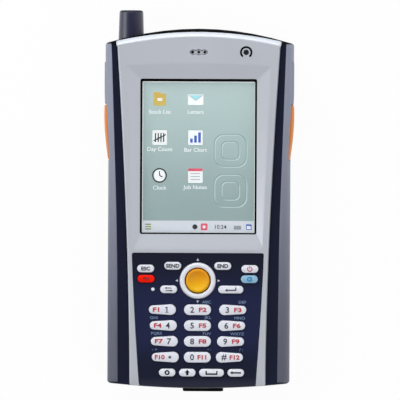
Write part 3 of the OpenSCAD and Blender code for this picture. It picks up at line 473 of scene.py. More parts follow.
def linear(colour):
    """Linear colour of a hexadecimal sRGB one."""
    c = np.array([int(colour[i:i + 2], 16) for i in (1, 3, 5)]) / 255
    return (*np.where(c <= 0.04045, c / 12.92, ((c + 0.055) / 1.055) ** 2.4), 1.0)


def add(tree, kind, inputs=None, **settings):
    """Adds a node, sets its properties, and sets or links its inputs."""
    node = tree.nodes.new(kind)
    for key, value in settings.items():
        setattr(node, key, value)
    for key, value in (inputs or {}).items():
        if isinstance(value, bpy.types.NodeSocket):
            tree.links.new(value, node.inputs[key])
        else:
            node.inputs[key].default_value = value
    return node


def moulded_group():
    """Tone, gloss and relief of a moulded skin: a broad cloudy change, fine speckle and a fine grain."""
    tree = bpy.data.node_groups.new("moulded_skin", "ShaderNodeTree")
    for side, labels in (("INPUT", ("Colour", "Clouding", "Speckle", "Grain Size", "Roughness",
                                    "Roughness Spread")),
                         ("OUTPUT", ("Colour", "Roughness", "Height"))):
        for label in labels:
            kind = "NodeSocketColor" if label == "Colour" else "NodeSocketFloat"
            tree.interface.new_socket(label, in_out=side, socket_type=kind)
    given, result = tree.nodes.new("NodeGroupInput").outputs, tree.nodes.new("NodeGroupOutput")

    def calculate(operation, *values):
        return add(tree, "ShaderNodeMath", dict(enumerate(values)), operation=operation).outputs[0]

    def swing(value, amount):
        """1 plus twice the amount times the value's distance from a half."""
        scaled = calculate("MULTIPLY", calculate("SUBTRACT", value, 0.5), amount)
        return calculate("MULTIPLY_ADD", scaled, 2.0, 1.0)

    place = add(tree, "ShaderNodeTexCoord").outputs["Object"]
    fine = calculate("DIVIDE", 1 / MM, given["Grain Size"])
    grain = add(tree, "ShaderNodeTexNoise", {"Vector": place, "Scale": fine, "Detail": 2.0}).outputs["Fac"]
    cloud = add(tree, "ShaderNodeTexNoise", {"Vector": place, "Scale": 45.0, "Detail": 3.0}).outputs["Fac"]
    tone = calculate("MULTIPLY", swing(cloud, given["Clouding"]), swing(grain, given["Speckle"]))
    colour = add(tree, "ShaderNodeVectorMath", {0: given["Colour"], "Scale": tone}, operation="SCALE")
    rough = calculate("MULTIPLY", given["Roughness"], swing(cloud, given["Roughness Spread"]))
    for label, socket in (("Colour", colour.outputs[0]), ("Roughness", rough), ("Height", grain)):
        tree.links.new(socket, result.inputs[label])
    return tree


MOULDED = moulded_group()


def moulded(name, colour, roughness=0.4, clouding=0.03, speckle=0.03, grain=0.3, relief=0.05, **sockets):
    """Material of a moulded or painted skin; sockets are plain values of the Principled BSDF."""
    material = bpy.data.materials.new(name)
    material.use_nodes = True
    tree = material.node_tree
    shader = tree.nodes["Principled BSDF"]
    group = add(tree, "ShaderNodeGroup", node_tree=MOULDED)
    for label, value in (("Colour", linear(colour)), ("Clouding", clouding), ("Speckle", speckle),
                         ("Grain Size", grain), ("Roughness", roughness), ("Roughness Spread", 0.08)):
        group.inputs[label].default_value = value
    made = group.outputs
    bump = add(tree, "ShaderNodeBump", {"Strength": 0.6, "Distance": relief * MM, "Height": made["Height"]})
    for socket, key in ((made["Colour"], "Base Color"), (made["Roughness"], "Roughness"),
                        (bump.outputs["Normal"], "Normal")):
        tree.links.new(socket, shader.inputs[key])
    for key, value in sockets.items():
        shader.inputs[key.replace("_", " ")].default_value = value
    return material


def shaded_along(material, colours, places):
    """Changes a material's colour along the body: each has its place in mm, with smooth steps between. Here
    it paints shade and light along the grips, keypad panel, scan key and the shell's low end, and also gives
    the shell its black top end and the screen picture its fade.
    """
    tree = material.node_tree
    place = add(tree, "ShaderNodeTexCoord").outputs["Object"]
    value = add(tree, "ShaderNodeSeparateXYZ", {0: place}).outputs["Y"]
    colour = linear(colours[0])
    for following, low, high in zip(colours[1:], places[:-1], places[1:]):
        share = add(tree, "ShaderNodeMapRange", {"Value": value, "From Min": low * MM, "From Max": high * MM},
                    interpolation_type="SMOOTHSTEP").outputs["Result"]
        blend = add(tree, "ShaderNodeMix", {0: share, 6: colour, 7: linear(following)}, data_type="RGBA")
        colour = blend.outputs[2]
    group = next(n for n in tree.nodes if n.type == "GROUP")
    tree.links.new(colour, group.inputs["Colour"])
    return material


silver = moulded("silver_paint", "#bcc1ca", 0.42, speckle=0.05, grain=0.12, relief=0.01, Metallic=0.2,
                 Coat_Weight=0.05)
# dark colour for the receiver recess walls: painted shade standing in for the recess's shadow
recess_painted_shade = moulded("recess_painted_shade", "#5e626e", 0.6, relief=0.01)
# The shell darkens to near black over its lowest two millimetres: painted shade on the rounded low end. Above
# y = 72 mm it turns near black for the black top end, a real two-tone.
shell_two_tone_and_painted_shade = shaded_along(moulded("shell_two_tone_and_painted_shade", "#12172c", 0.45, grain=0.25, Specular_IOR_Level=0.15),
                          ("#030408", "#12172c", "#12172c", "#040507"), (-88.6, -86.5, 72, 76))
shell_black = moulded("shell_black", "#0d0f14", 0.5, grain=0.25, Specular_IOR_Level=0.25)
# The grip rubber darkens towards the bottom of the body: painted shade for the light falling off downwards.
grip_rubber_painted_shade = shaded_along(moulded("grip_rubber_painted_shade", "#8b90a2", 0.6, grain=0.35, relief=0.08),
                           ("#505363", "#8b90a2"), (-90, 60))
# The keypad panel is darker at its top and towards its low end, lighter in the middle and again on its
# rounded low edge: painted shade and painted light.
keypad_navy = shaded_along(
    moulded("keypad_navy", "#1c2140", 0.38, grain=0.2, relief=0.02, Specular_IOR_Level=0.2),
    ("#25273a", "#11172c", "#11172c", "#1a2042", "#1a2042", "#121629"), (-87, -83, -80, -64, -50, -27))
key_pale = moulded("key_pale", "#dfe2ec", 0.35, grain=0.2, relief=0.01, Coat_Weight=0.2)
key_red = moulded("key_red", "#f01902", 0.4, grain=0.2, relief=0.01, Specular_IOR_Level=0.1)
key_blue = moulded("key_blue", "#8cb6d2", 0.35, grain=0.2, relief=0.01, Coat_Weight=0.1)
# The scan key turns more orange towards its top: painted shade of the dish's upper wall.
key_yellow = shaded_along(
    moulded("key_yellow", "#e6a00c", 0.45, grain=0.2, relief=0.01, Specular_IOR_Level=0.2),
    ("#e6b00c", "#e0930e"), (NAV_Y - 5, NAV_Y + 4))
trigger_orange = moulded("trigger_orange", "#dd7d18", 0.4)
antenna_rubber = moulded("antenna_rubber", "#11153a", 0.5, Specular_IOR_Level=0.1, Sheen_Weight=0.5,
                         Sheen_Roughness=0.3, Coat_Weight=1.0, Coat_Roughness=0.33, Coat_IOR=1.6)
antenna_end = moulded("antenna_end", "#20242c", 0.6, Specular_IOR_Level=0.15)
seal_black = moulded("seal_black", "#040506", 0.6, Specular_IOR_Level=0.1)
cover_rubber = moulded("cover_rubber", "#030304", 0.7, Specular_IOR_Level=0.1)
INK = {name: moulded("ink_" + name, colour, 0.5, relief=0.005, Specular_IOR_Level=specular)
       for name, colour, specular in (
           ("dark", "#23262c", 0.5), ("red", "#b5343b", 0.5), ("pale", "#c3c8da", 0.5),
           ("slate", "#6f88a6", 0.5), ("maroon", "#6e120e", 0.5), ("blue", "#2a86b4", 0.5),
           ("black", "#050609", 0.1))}
lens_dark = moulded("lens_dark", "#0a0c14", 0.3, relief=0.002, Specular_IOR_Level=0.3)
lens_white = moulded("lens_white", "#e6eaf2", 0.25, relief=0.002, Coat_Weight=0.5)
scan_red = moulded("scan_red", "#3a0810", 0.08, relief=0.0, Coat_Weight=0.8)
case_dark = moulded("case_dark", "#23252a", 0.5)
board_green = moulded("board_green", "#1c5e38", 0.45, grain=0.6)
silicone = moulded("silicone", "#b4b7bd", 0.6)
steel = moulded("steel", "#b9bbbf", 0.3, Metallic=1.0)
gold = moulded("gold", "#d9b45a", 0.3, Metallic=1.0)


# --- Cover ---

def drop(points):
    """Rounds the low end down: the height falls along a quarter of an ellipse over the last millimetres."""
    length, depth = 5.6, 1.7
    gap = points[:, 1] - low_end(points[:, 0])
    fall = depth * rounding(np.clip((length - gap) / length, 0, 1) * 0.98)
    points[:, 2] -= fall * np.clip((points[:, 2] - COVER_Z0) / (COVER_Z1 - COVER_Z0), 0, 1)
    return points


def low_end_points(half_x):
    """Points on curves that follow the low end, so that a flat face there can bend down."""
    step = 1.2
    x = np.arange(-half_x, half_x + step, step)
    y = low_end(x) + np.array([0.35, 0.8, 1.4, 2.1, 3.0, 4.0, 5.0, 5.7, 6.4])[:, None]
    return np.column_stack([np.broadcast_to(x, y.shape).ravel(), y.ravel()])


def build_cover():
    """The silver front frame: chamfered top end, sloping display surround, receiver recess and light hole."""
    edge, lip, hole_r, light_r = 1.7, 0.8, 0.68, 1.3
    side_in, top_in, low_in, opening_in = 0.75, 2.5, 0.5, 0.3
    foot = cover_outline(0, TOP_INSET, LOW_INSET, 0)
    levels = [(foot, COVER_Z0)]
    for turn, down in quarter(9):
        top = TOP_INSET + top_in * (1 - down ** (2 / 3))
        outline = cover_outline(side_in * turn, top, LOW_INSET + low_in * turn, opening_in * turn)
        levels.append((outline, COVER_Z1 - edge * down))
    rim = cover_outline(side_in + 0.08, TOP_INSET + top_in + 0.1, LOW_INSET + low_in + 0.1, opening_in + 0.08)
    levels.append((rim, COVER_Z1))

    surround, window = surround_outline(-0.01), surround_outline(1.0)
    shares = np.array([0, 0.02, 0.06, 0.12, 0.3, 0.5, 0.7, 0.9, 0.97, 1.0])
    falls = (COVER_Z1 - COVER_Z0 - lip) * np.where(shares < 0.12, shares ** 2 / 0.24, shares - 0.06)
    slopes = [(surround_outline(share), COVER_Z1 - fall) for share, fall in zip(shares, falls)]

    recess = [(slot_outline(inset), COVER_Z1 - depth)
              for inset, depth in ((-0.06, 0), (0, 0.08), (0.1, 0.25), (0.34, 0.55))]
    slot_rim, (slot_wall, slot_floor) = recess[0][0], recess[-1]
    holes = [circle((x, RECEIVER_Y), hole_r, 24) for x in (-HOLE_STEP, 0, HOLE_STEP)]
    light_rim, light = (circle((STATUS_X, RECEIVER_Y), r) for r in (light_r + 0.12, light_r))
    parts = [
        tube(*levels), tube((surround, COVER_Z1), *slopes, (window, COVER_Z0)),
        flat([rim, surround, slot_rim, light_rim], COVER_Z1, extra=low_end_points(36)),
        flat([foot, window, *holes, light], COVER_Z0, up=False),
        # the recess walls take the second material, the painted shade
        (*tube(*recess), 1),
        flat([slot_wall, *holes], slot_floor),
        tube((light_rim, COVER_Z1), (light, COVER_Z1 - 0.13), (light, COVER_Z0)),
        *(tube((hole, slot_floor), (hole, COVER_Z0)) for hole in holes)]
    make("silver_cover", [(drop(part[0]), *part[1:]) for part in parts], "terminal", [silver, recess_painted_shade],
         "front_cover", sharp=28)


# --- Keys ---

# keys of the outer columns with their side; their outer ends are lower
OUTER_KEYS = {"key_1": -1, "key_4": -1, "key_7": -1, "key_star": -1,
              "key_3": 1, "key_6": 1, "key_9": 1, "key_hash": 1}
OUTER_KEY_H = 3.9
KEY_EDGE = 0.3
KEY_CROWN = 0.32


def key_facts(node):
    """Centre, width and the heights of both round ends of a key, from the frame."""
    low, high = box_mm(node)
    (x, y, _), (width, height, _) = (low + high) / 2, high - low - 2 * KEY_LIP
    side = OUTER_KEYS.get(node, 0)
    left, right = (OUTER_KEY_H if side < 0 else height), (OUTER_KEY_H if side > 0 else height)
    return {"x": x, "y": y, "width": width, "left": left, "right": right, "z0": low[2], "z1": high[2]}


KEYS = {n: key_facts(n) for n in sorted(frame["nodes"]) if n.startswith("key_")}


def key_loop(key, grow, shrink=0.0):
    """Outline of a key with two round ends; shrink draws it in to the line between their centres."""
    r0, r1 = key["left"] / 2, key["right"] / 2
    x0, x1 = r0 - key["width"] / 2, key["width"] / 2 - r1
    spine = np.vstack([
        np.repeat([[x0, 0]], 15, axis=0), line((x0, 0), (x1, 0), 12),
        np.repeat([[x1, 0]], 15, axis=0), line((x1, 0), (x0, 0), 12)])
    rim = np.vstack([
        arc((x0, 0), r0 + grow, 90, 270, 15), line((x0, -r0 - grow), (x1, -r1 - grow), 12),
        arc((x1, 0), r1 + grow, -90, 90, 15), line((x1, r1 + grow), (x0, r0 + grow), 12)])
    return rim + shrink * (spine - rim) + [key["x"], key["y"]]


def key_top(key, x, y):
    """Height of a key's top: the crown falls with the square of the distance from the key's spine."""
    r = (key["left"] + key["right"]) / 4 - KEY_EDGE
    reach = np.maximum(np.abs(x - key["x"]) - (key["width"] / 2 - r - KEY_EDGE), 0)
    s = np.minimum(np.hypot(reach, y - key["y"]) / r, 1)
    return key["z1"] - KEY_CROWN * s ** 2


def build_key(node, material, slot):
    """A key: plunger, retaining lip, wall, rounded edge and dome."""
    key = KEYS[node]
    centre = (key["x"], key["y"])
    lip_z0 = PLATE_Z1 - PLATE_T - SEAT_GAP - KEY_LIP_T
    lip_z1, crown_z = lip_z0 + KEY_LIP_T, key["z1"] - KEY_CROWN
    lip, wall = key_loop(key, KEY_LIP), key_loop(key, 0)
    post = np.roll(circle(centre, PLUNGER_R, len(wall)), len(wall) // 4 + 1, axis=0)
    levels = [(post * 0 + centre, key["z0"]), (post, key["z0"]), (post, lip_z0), (lip, lip_z0), (lip, lip_z1),
              (wall, lip_z1)]
    levels += [(key_loop(key, -KEY_EDGE * turn), crown_z - KEY_EDGE * down) for turn, down in quarter(6)]
    levels += [(key_loop(key, -KEY_EDGE, 1 - s), key["z1"] - KEY_CROWN * s ** 2)
               for s in (0.94, 0.85, 0.7, 0.52, 0.34, 0.16, 0.0)]
    make("cap_of_" + node, [tube(*levels)], node, material, node, sharp=50)


# --- Printed legends ---

def lettering(text, size, x, y, bold=0.0, align="CENTER", thick=0.03, wide=1.0):
    """A line of text as a thin flat solid, at x by its alignment and centred on y."""
    curve = bpy.data.curves.new("legend", "FONT")
    curve.body = text
    curve.size = size
    curve.offset = bold
    curve.extrude = thick
    curve.resolution_u = 3
    curve.align_x = align
    holder = in_scene("legend", curve)
    points, faces = contents(holder.evaluated_get(bpy.context.evaluated_depsgraph_get()).to_mesh())
    bpy.data.objects.remove(holder)
    bpy.data.curves.remove(curve)
    middle = (points[:, 1].min() + points[:, 1].max()) / 2
    return points * [wide, 1, 1] + [x, y - middle, 0], faces


def slab(outlines, thick=0.03):
    """Thin flat solid inside the first outline and outside the others, centred on height 0."""
    walls = [tube((o, -thick), (o, thick)) for o in outlines]
    return joined([flat(outlines, thick), flat(outlines, -thick, up=False), *walls])[:2]


def bar(a, b, width):
    """Outline of a straight stroke from a to b with square ends."""
    a, b = np.array(a, float), np.array(b, float)
    d = (b - a) / np.linalg.norm(b - a)
    side = np.array([-d[1], d[0]]) * width / 2
    return np.array([a - side, b - side, b + side, a + side])


def strokes(*bars):
    """Straight strokes as thin solids, each given by its two ends and its width."""
    return [slab([bar(*given)]) for given in bars]


def ring(outer, inner):
    """Thin flat ring about the origin."""
    return slab([circle((0, 0), outer, 40), circle((0, 0), inner, 40)])


def open_ring(outer, inner, start, stop, steps):
    """Outline of a ring with a gap, from the start angle to the stop angle."""
    return np.vstack([arc((0, 0), outer, start, stop, steps), arc((0, 0), inner, stop, start, steps)])


def refined(part):
    """Halves long edges until none is longer than half a millimetre, so that a flat solid can bend."""
    longest, rounds = 0.5, 6
    mesh = bpy.data.meshes.new("refined")
    mesh.from_pydata(np.asarray(part[0]).tolist(), [], part[1])
    fine = bmesh.new()
    fine.from_mesh(mesh)
    bmesh.ops.remove_doubles(fine, verts=fine.verts, dist=1e-4)
    for _ in range(rounds):
        bmesh.ops.triangulate(fine, faces=fine.faces)
        long_edges = [e for e in fine.edges if e.calc_length() > longest]
        if not long_edges:
            break
        bmesh.ops.subdivide_edges(fine, edges=long_edges, cuts=1)
    bmesh.ops.triangulate(fine, faces=fine.faces)
    fine.to_mesh(mesh)
    fine.free()
    result = contents(mesh)
    bpy.data.meshes.remove(mesh)
    return (*result, *part[2:])


def laid_on(part, surface, lift=0.03):
    """Lays a thin flat solid on a height, or on a surface whose height is a function of x and y."""
    points = part[0].copy()
    points[:, 2] += (surface(points[:, 0], points[:, 1]) if callable(surface) else surface) + lift
    return (points, *part[1:])


def on_key(node, parts, ink):
    """Prints flat solids on a key's dome."""
    key = KEYS[node]
    moved = [(part[0] + [key["x"], key["y"], 0], *part[1:]) for part in parts]
    laid = [laid_on(refined(part), lambda x, y: key_top(key, x, y)) for part in moved]
    make("legend_of_" + node, laid, node, ink)


NUMBER_KEYS = ["key_" + name for name in "1 2 3 4 5 6 7 8 9 star 0 hash".split()]


def build_number_signs():
    """Digits in dark ink with their function numbers in red."""
    for number, (node, digit) in enumerate(zip(NUMBER_KEYS, "123456789*0#"), 1):
        far, near = (-2.7, 2.2) if OUTER_KEYS.get(node, 0) < 0 else (2.4, -2.5)
        if digit == "*":
            tips = [0.75 * np.array([math.cos(a), math.sin(a)]) for a in np.radians([30, 90, 150])]
            sign = strokes(*(([near, 0] - tip, [near, 0] + tip, 0.34) for tip in tips))
        elif digit == "1":
            sign = strokes(((near, -1.35), (near, 1.4), 0.42), ((near - 0.75, 0.75), (near + 0.1, 1.3), 0.36),
                           ((near - 0.75, -1.25), (near + 0.75, -1.25), 0.3))
        else:
            sign = [lettering(digit, 3.9, near, 0, 0.07)]
        function = lettering("F%d" % number, 2.8, far, 0, 0.1, wide=1.4 if number < 10 else 1.18)
        on_key(node, [*sign, (*function, 1)], [INK["dark"], INK["red"]])


def build_signs():
    """Words and drawn signs on the other keys."""
    arrow = np.array([[-1.0, -0.65], [-1.0, 0.65], [-1.9, 0]])
    back_arrow = (arrow * [-1, 0.8])[::-1]
    for node, ink, parts in (
            *(("key_" + word.lower(), "dark", [lettering(word, 2.4, 0, 0, 0.09, wide=1.08)])
              for word in ("ESC", "SEND", "END")),
            ("key_fn", "maroon", [lettering("FN", 2.2, 0, 0, 0.08)]),
            ("key_alpha", "blue", [ring(1.15, 0.5), *strokes(((0.95, 1.1), (0.95, -1.1), 0.5))]),
            ("key_power", "red", [slab([open_ring(1.3, 0.85, -235, 55, 36)]),
                                  *strokes(((0, 0.2), (0, 1.45), 0.42))]),
            ("key_tab", "dark", [
                slab([arrow * [1, 0.8] + [0, 0.6]]), slab([back_arrow - [0, 0.6]]),
                *strokes(((-1.1, 0.6), (1.4, 0.6), 0.38), ((1.1, -0.6), (-1.4, -0.6), 0.38))]),
            ("key_enter", "dark", [
                slab([arrow * 1.2 - [0.4, 0.35]]),
                *strokes(((-2, -0.35), (2.6, -0.35), 0.55), ((2.4, -0.4), (2.4, 1.0), 0.5))]),
            ("key_circle", "black", [ring(1.2, 0.55)]),
            ("key_shift", "black", [slab([np.array([[0, 1.35], [-1.2, 0.05], [1.2, 0.05]])]),
                                    *strokes(((0, 0.1), (0, -1.2), 1.05))]),
            ("key_space", "black", strokes(
                ((-2.8, -0.65), (2.8, -0.65), 0.7), ((-2.55, -0.5), (-2.55, 0.85), 0.6),
                ((2.55, -0.5), (2.55, 0.85), 0.6))),
            ("key_backspace", "black", [slab([arrow * 1.25 - [0.3, 0]]),
                                        *strokes(((-1.6, 0), (2.5, 0), 0.65))])):
        on_key(node, parts, INK[ink])


# --- Keypad panel, ring and scan key ---

KEY_GAP = 0.2
RING_GAP = 0.3
RING_R = ring_high[0] - 0.75
LIGHT_AT = (-21.25, NAV_Y - 4.15)
LIGHT_R = 0.8


def build_plate():
    """The keypad panel: rounded rim, one hole with a soft edge for each key, and the rim it stands on."""
    soft, low_in, rim_t, floor_z = 0.35, 0.5, 1.0, PLATE_Z1 - PLATE_T
    foot = plate_outline(0, LOW_INSET)
    rim = plate_outline(soft + 0.08, LOW_INSET + low_in + 0.1)
    inner = plate_outline(rim_t, LOW_INSET + rim_t + 0.6)
    edge = [(plate_outline(soft * turn, LOW_INSET + low_in * turn), PLATE_Z1 - soft * down)
            for turn, down in quarter(5)]
    holes = [lambda grow, key=key: key_loop(key, KEY_GAP + grow) for key in KEYS.values()]
    holes.append(lambda grow: circle((0, NAV_Y), RING_R + RING_GAP + grow, 72))
    holes.append(lambda grow: circle(LIGHT_AT, LIGHT_R + 0.05 + grow, 32))
    hole_edge = ((0.14, 0), (0.1, 0.005), (0.03, 0.04), (0, 0.12), (0, PLATE_T))
    parts = [tube((foot, PLATE_Z0), *edge, (rim, PLATE_Z1)),
             flat([rim] + [hole(0.14) for hole in holes], PLATE_Z1, extra=low_end_points(30)),
             *(tube(*((hole(grow), PLATE_Z1 - depth) for grow, depth in hole_edge)) for hole in holes),
             flat([inner] + [hole(0) for hole in holes], floor_z, up=False),
             tube((inner, floor_z), (inner, PLATE_Z0)), flat([foot, inner], PLATE_Z0, up=False)]
    parts = [(drop(points), faces) for points, faces in parts]
    make("keypad_panel", parts, "terminal", keypad_navy, "keypad_plate")


def rounded_profile(path, radius):
    """The path with each of its inner corners replaced by a curve that is tangent to both sides."""
    path = np.array(path, float)
    t = np.linspace(0, 1, 5)[:, None]
    points = [path[:1]]
    for a, b, c in zip(path[:-2], path[1:-1], path[2:]):
        back, ahead = np.linalg.norm(a - b), np.linalg.norm(c - b)
        cut = min(radius, 0.45 * back, 0.45 * ahead)
        p, q = b + cut * (a - b) / back, b + cut * (c - b) / ahead
        points.append((1 - t) ** 2 * p + 2 * t * (1 - t) * b + t ** 2 * q)
    return np.vstack([*points, path[-1:]])


def build_navigation():
    """The pale tilting ring and the dished yellow key inside it."""
    centre, lip_t = (0, NAV_Y), 0.9
    z0, z1, lip_r, inner_r = ring_low[2], ring_high[2], ring_high[0], 6.15
    lip_z = z0 + lip_t
    crown = [[RING_R, z1 - 1.0], [RING_R - 0.25, z1 - 0.35], [RING_R - 0.9, z1], [inner_r + 0.9, z1 - 0.02],
             [inner_r + 0.15, z1 - 0.35], [inner_r, z1 - 0.9], [inner_r, z0]]
    foot = [[inner_r, z0], [lip_r, z0], [lip_r, lip_z], [RING_R, lip_z]]
    profile = np.vstack([foot, rounded_profile(crown, 0.6)])
    make("navigation_ring", [revolve(profile, centre)], "nav_ring", key_pale, "nav_ring",
         sharp=50)

    key_r, lip_r, post_r = 5.65, (scan_high[0] - scan_low[0]) / 2, 2.5
    low, top, lip_z = scan_low[2], scan_high[2], ring_low[2] - 1.5
    dish_r, dish_depth = key_r - 1.1, 1.15
    r = np.linspace(dish_r, 0, 16)
    dish = np.column_stack([r, top - dish_depth * (1 - (r / dish_r) ** 3)])
    edge = rounded_profile([[key_r, lip_z + 0.6], [key_r, top - 0.8], [key_r - 0.35, top - 0.2],
                            [key_r - 0.95, top], dish[1]], 0.5)
    foot = [[0, low], [post_r, low], [post_r, lip_z], [lip_r, lip_z], [lip_r, lip_z + 0.6]]
    profile = np.vstack([foot, edge[:-1], dish[1:]])
    make("scan_button", [revolve(profile, centre)], "scan_key", key_yellow, "scan_key",
         sharp=50)


GROUPS = ("ABC", "DEF", "GHI", "JKL", "MNO", "PQRS", "TUV", "WXYZ", "- +", ", .", "/ :")


def build_prints():
    """Letter groups and triangles on the keypad panel, and the open ring round the light on the cover."""
    letters, above = [], 3.65
    for node, text in zip(NUMBER_KEYS[1:], GROUPS):
        key = KEYS[node]
        side, align = (-1, "LEFT") if OUTER_KEYS.get(node, 0) < 0 else (1, "RIGHT")
        x, y = key["x"] + side * key["width"] / 2, key["y"] + above
        letters.append(laid_on(lettering(text, 1.9, x, y, 0.02, align=align, wide=1.15), PLATE_Z1))
    make("letter_groups", letters, "terminal", INK["slate"])
    tip, base, half = 10.6, 9.45, 0.6
    triangle = np.array([[tip, 0], [base, half], [base, -half]])
    marks = [slab([triangle @ np.array([[c, s], [-s, c]]) + [0, NAV_Y]])
             for c, s in ((1, 0), (0, 1), (-1, 0), (0, -1))]
    make("ring_marks", [laid_on(mark, PLATE_Z1) for mark in marks], "terminal", INK["pale"])
    ring_mark = slab([open_ring(2.95, 2.05, -52, 232, 60) + [STATUS_X, RECEIVER_Y]])
    make("light_ring", [laid_on(ring_mark, COVER_Z1)], "terminal", INK["black"])


def build_lenses():
    """The two light lenses: a dark dome in the cover and a pale one in the keypad panel."""
    for name, material, r, place, low, top, crown in (
            ("status_lens", lens_dark, 1.25, (STATUS_X, RECEIVER_Y), COVER_Z0 - 2, COVER_Z1 - 0.45, 0.4),
            ("keypad_lens", lens_white, LIGHT_R, LIGHT_AT, box_mm("led_lenses")[0][2], PLATE_Z1 - 0.1, 0.2)):
        s = np.linspace(1, 0, 8)
        profile = np.vstack([[[0, low], [r, low]], np.column_stack([r * s, top + crown * (1 - s ** 2)])])
        make(name, [revolve(profile, place, 32)], "terminal", material, "led_lenses", sharp=50)


# --- Grips, antenna and side controls ---

SIDE_GAP = 0.2
trigger_low, trigger_high = box_mm("right_trigger")
side_key_low, side_key_high = box_mm("right_side_key")
FLANGE = 0.8
CONTROL_Z0 = trigger_low[2] + SIDE_GAP + FLANGE
CONTROL_Z1 = trigger_high[2] - SIDE_GAP - FLANGE
TRIGGER_Y0 = trigger_low[1] + FLANGE
TRIGGER_Y1 = trigger_high[1]
SIDE_KEY_Y0 = side_key_low[1]
SIDE_KEY_Y1 = side_key_high[1] - FLANGE
NUB = 0.4
FLANGE_X = trigger_low[0] + NUB
SIDE_WINDOW_Y = (TRIGGER_Y0 - SIDE_GAP, SIDE_KEY_Y1 + SIDE_GAP)
SIDE_WINDOW_Z = (CONTROL_Z0 - SIDE_GAP, CONTROL_Z1 + SIDE_GAP)


def window_distance(y, z):
    """Distance from the side window's edge, for points outside it."""
    out = [np.maximum(np.maximum(low - value, value - high), 0)
           for value, (low, high) in ((y, SIDE_WINDOW_Y), (z, SIDE_WINDOW_Z))]
    return np.hypot(*out)


def grid_lines(edges, start, stop, step, gap, offsets):
    """Places from start to stop in even steps, with the edges and close lines on both sides of each edge.

    An even line nearer to one of those than the gap is left out.
    """
    close = np.add.outer(edges, [*offsets, *-offsets]).ravel()
    special = np.concatenate([close[(close > start) & (close < stop)], edges])
    even = np.linspace(start, stop, int(round((stop - start) / step)) + 1)
    even = even[np.abs(even[:, None] - special).min(axis=1) > gap]
    return np.unique(np.round(np.concatenate([even, special, [start, stop]]), 5))


def build_grip(side):
    """A side grip: the outer form's side from the strip round to the back, with soft borders and a window."""
    name = "right" if side > 0 else "left"
    soft, thick, margin = 0.35, 1.7, 0.05
    offsets = soft * np.array([0.08, 0.25, 0.5, 0.8])
    y0, y1 = grip_low[1] + margin, grip_high[1] - margin
    z0, z1 = grip_low[2] + margin, STRIP_Z
    (wy0, wy1), (wz0, wz1) = SIDE_WINDOW_Y, SIDE_WINDOW_Z
    ys = grid_lines([y0, wy0, wy1, y1], y0, y1, 2.0, 0.3, offsets)
    # the heights on the front rounding are even steps of its angle
    round_z0 = STRIP_Z - FRONT_ROUND
    bend = round_z0 + FRONT_ROUND * np.sin(np.radians(np.linspace(0, 84, 22)))
    zs = grid_lines([z0, wz0, wz1], z0, z1, 1.2, 0.25, offsets)
    zs = np.unique(np.concatenate([zs[zs < round_z0], bend, [wz0, wz1], wz1 + offsets]))
    zs = zs[zs < z1]
    Y, Z = np.meshgrid(ys, zs, indexing="ij")
    side_x = side_surface(Y, Z)
    # the last column of points follows the step beside the dark strip
    step_x = strip_half(ys) + 0.12
    X = np.column_stack([side_x, step_x])
    inner_x = np.column_stack([side_x - thick, step_x])
    Y = np.column_stack([Y, ys])
    Z = np.column_stack([Z, np.full(len(ys), z1 - 0.02)])
    border = np.minimum.reduce([Y - y0, y1 - Y, Z - z0, np.abs(X - step_x[:, None]) + 0.02])
    sink = soft * rounding(np.clip(1 - np.minimum(border, window_distance(Y, Z)) / soft, 0, 1) * 0.97)
    outer = np.stack([X - sink, Y, Z - 0.15 * sink], axis=-1)
    inner = np.stack([np.minimum(inner_x, X - sink - 0.2), Y, np.minimum(Z, z1 - 0.9)], axis=-1)
    mid_y, mid_z = (ys[:-1] + ys[1:]) / 2, np.append((zs[:-1] + zs[1:]) / 2, z1)
    keep = ~np.outer((mid_y > wy0) & (mid_y < wy1), (mid_z > wz0) & (mid_z < wz1))
    make(name + "_grip_skin", [shell_patch(outer, inner, keep, side)], "terminal", grip_rubber_painted_shade,
         name + "_grip")


def shell_patch(outer, inner, keep, side):
    """Closed plate between two grids of points, without the cells that aren't kept."""
    shift = outer[..., 0].size
    index = np.arange(shift).reshape(outer.shape[:2])
    a, b, c, d = index[:-1, :-1], index[1:, :-1], index[1:, 1:], index[:-1, 1:]
    quads = np.stack([a, b, c, d], axis=-1)[keep]
    padded = np.pad(keep, 1)
    walls = []
    for p, q, neighbour in ((a, b, padded[1:-1, :-2]), (b, c, padded[2:, 1:-1]),
                            (c, d, padded[1:-1, 2:]), (d, a, padded[:-2, 1:-1])):
        edge = keep & ~neighbour
        walls.append(np.stack([p[edge], p[edge] + shift, q[edge] + shift, q[edge]], axis=-1))
    faces = np.vstack([quads, quads[:, ::-1] + shift, *walls])
    points = np.concatenate([outer.reshape(-1, 3), inner.reshape(-1, 3)])
    used, renumbered = np.unique(faces, return_inverse=True)
    points = points[used] * [side, 1, 1]
    return points, renumbered.reshape(faces.shape).tolist()


def build_antenna():
    """The stub antenna: a slim cone with a rounded tip, turned about its own axis."""
    low, high = box_mm("antenna")
    x, z = (low[0] + high[0]) / 2, (low[2] + high[2]) / 2
    neck_length, neck_r, base_r, tip_r, soft = 5.6, 3.45, (high[0] - low[0]) / 2, 5.7, 1.3
    base, top = low[1] + neck_length, high[1]
    cone = line((base_r, base + 0.3), (tip_r, top - soft), 8, True)
    tip = [tip_r, top] - soft * quarter(9)
    cap = [[tip_r - soft - 0.4, top], [tip_r - soft - 0.9, top - 0.12], [0, top - 0.2]]
    stem = np.vstack([[[0, low[1]], [neck_r, low[1]], [neck_r, base], [base_r - 0.3, base]], cone, tip[1:3]])
    parts = []
    for number, profile in enumerate((stem, np.vstack([tip[2:], cap]))):
        points, faces = revolve(profile, (0, 0))
        parts.append((np.column_stack([x + points[:, 0], points[:, 2], z - points[:, 1]]), faces, number))
    make("antenna_sleeve", parts, "terminal", [antenna_rubber, antenna_end], "antenna",
         sharp=50)


def bowed(t):
    """Bulge of a trigger at a share of its length: a parabola with its top above the middle."""
    return 1.18 * (1 - ((t - 0.58) / 0.62) ** 2)


def level(t):
    """Bulge of a side key, the same all along."""
    return np.full_like(t, 0.45)


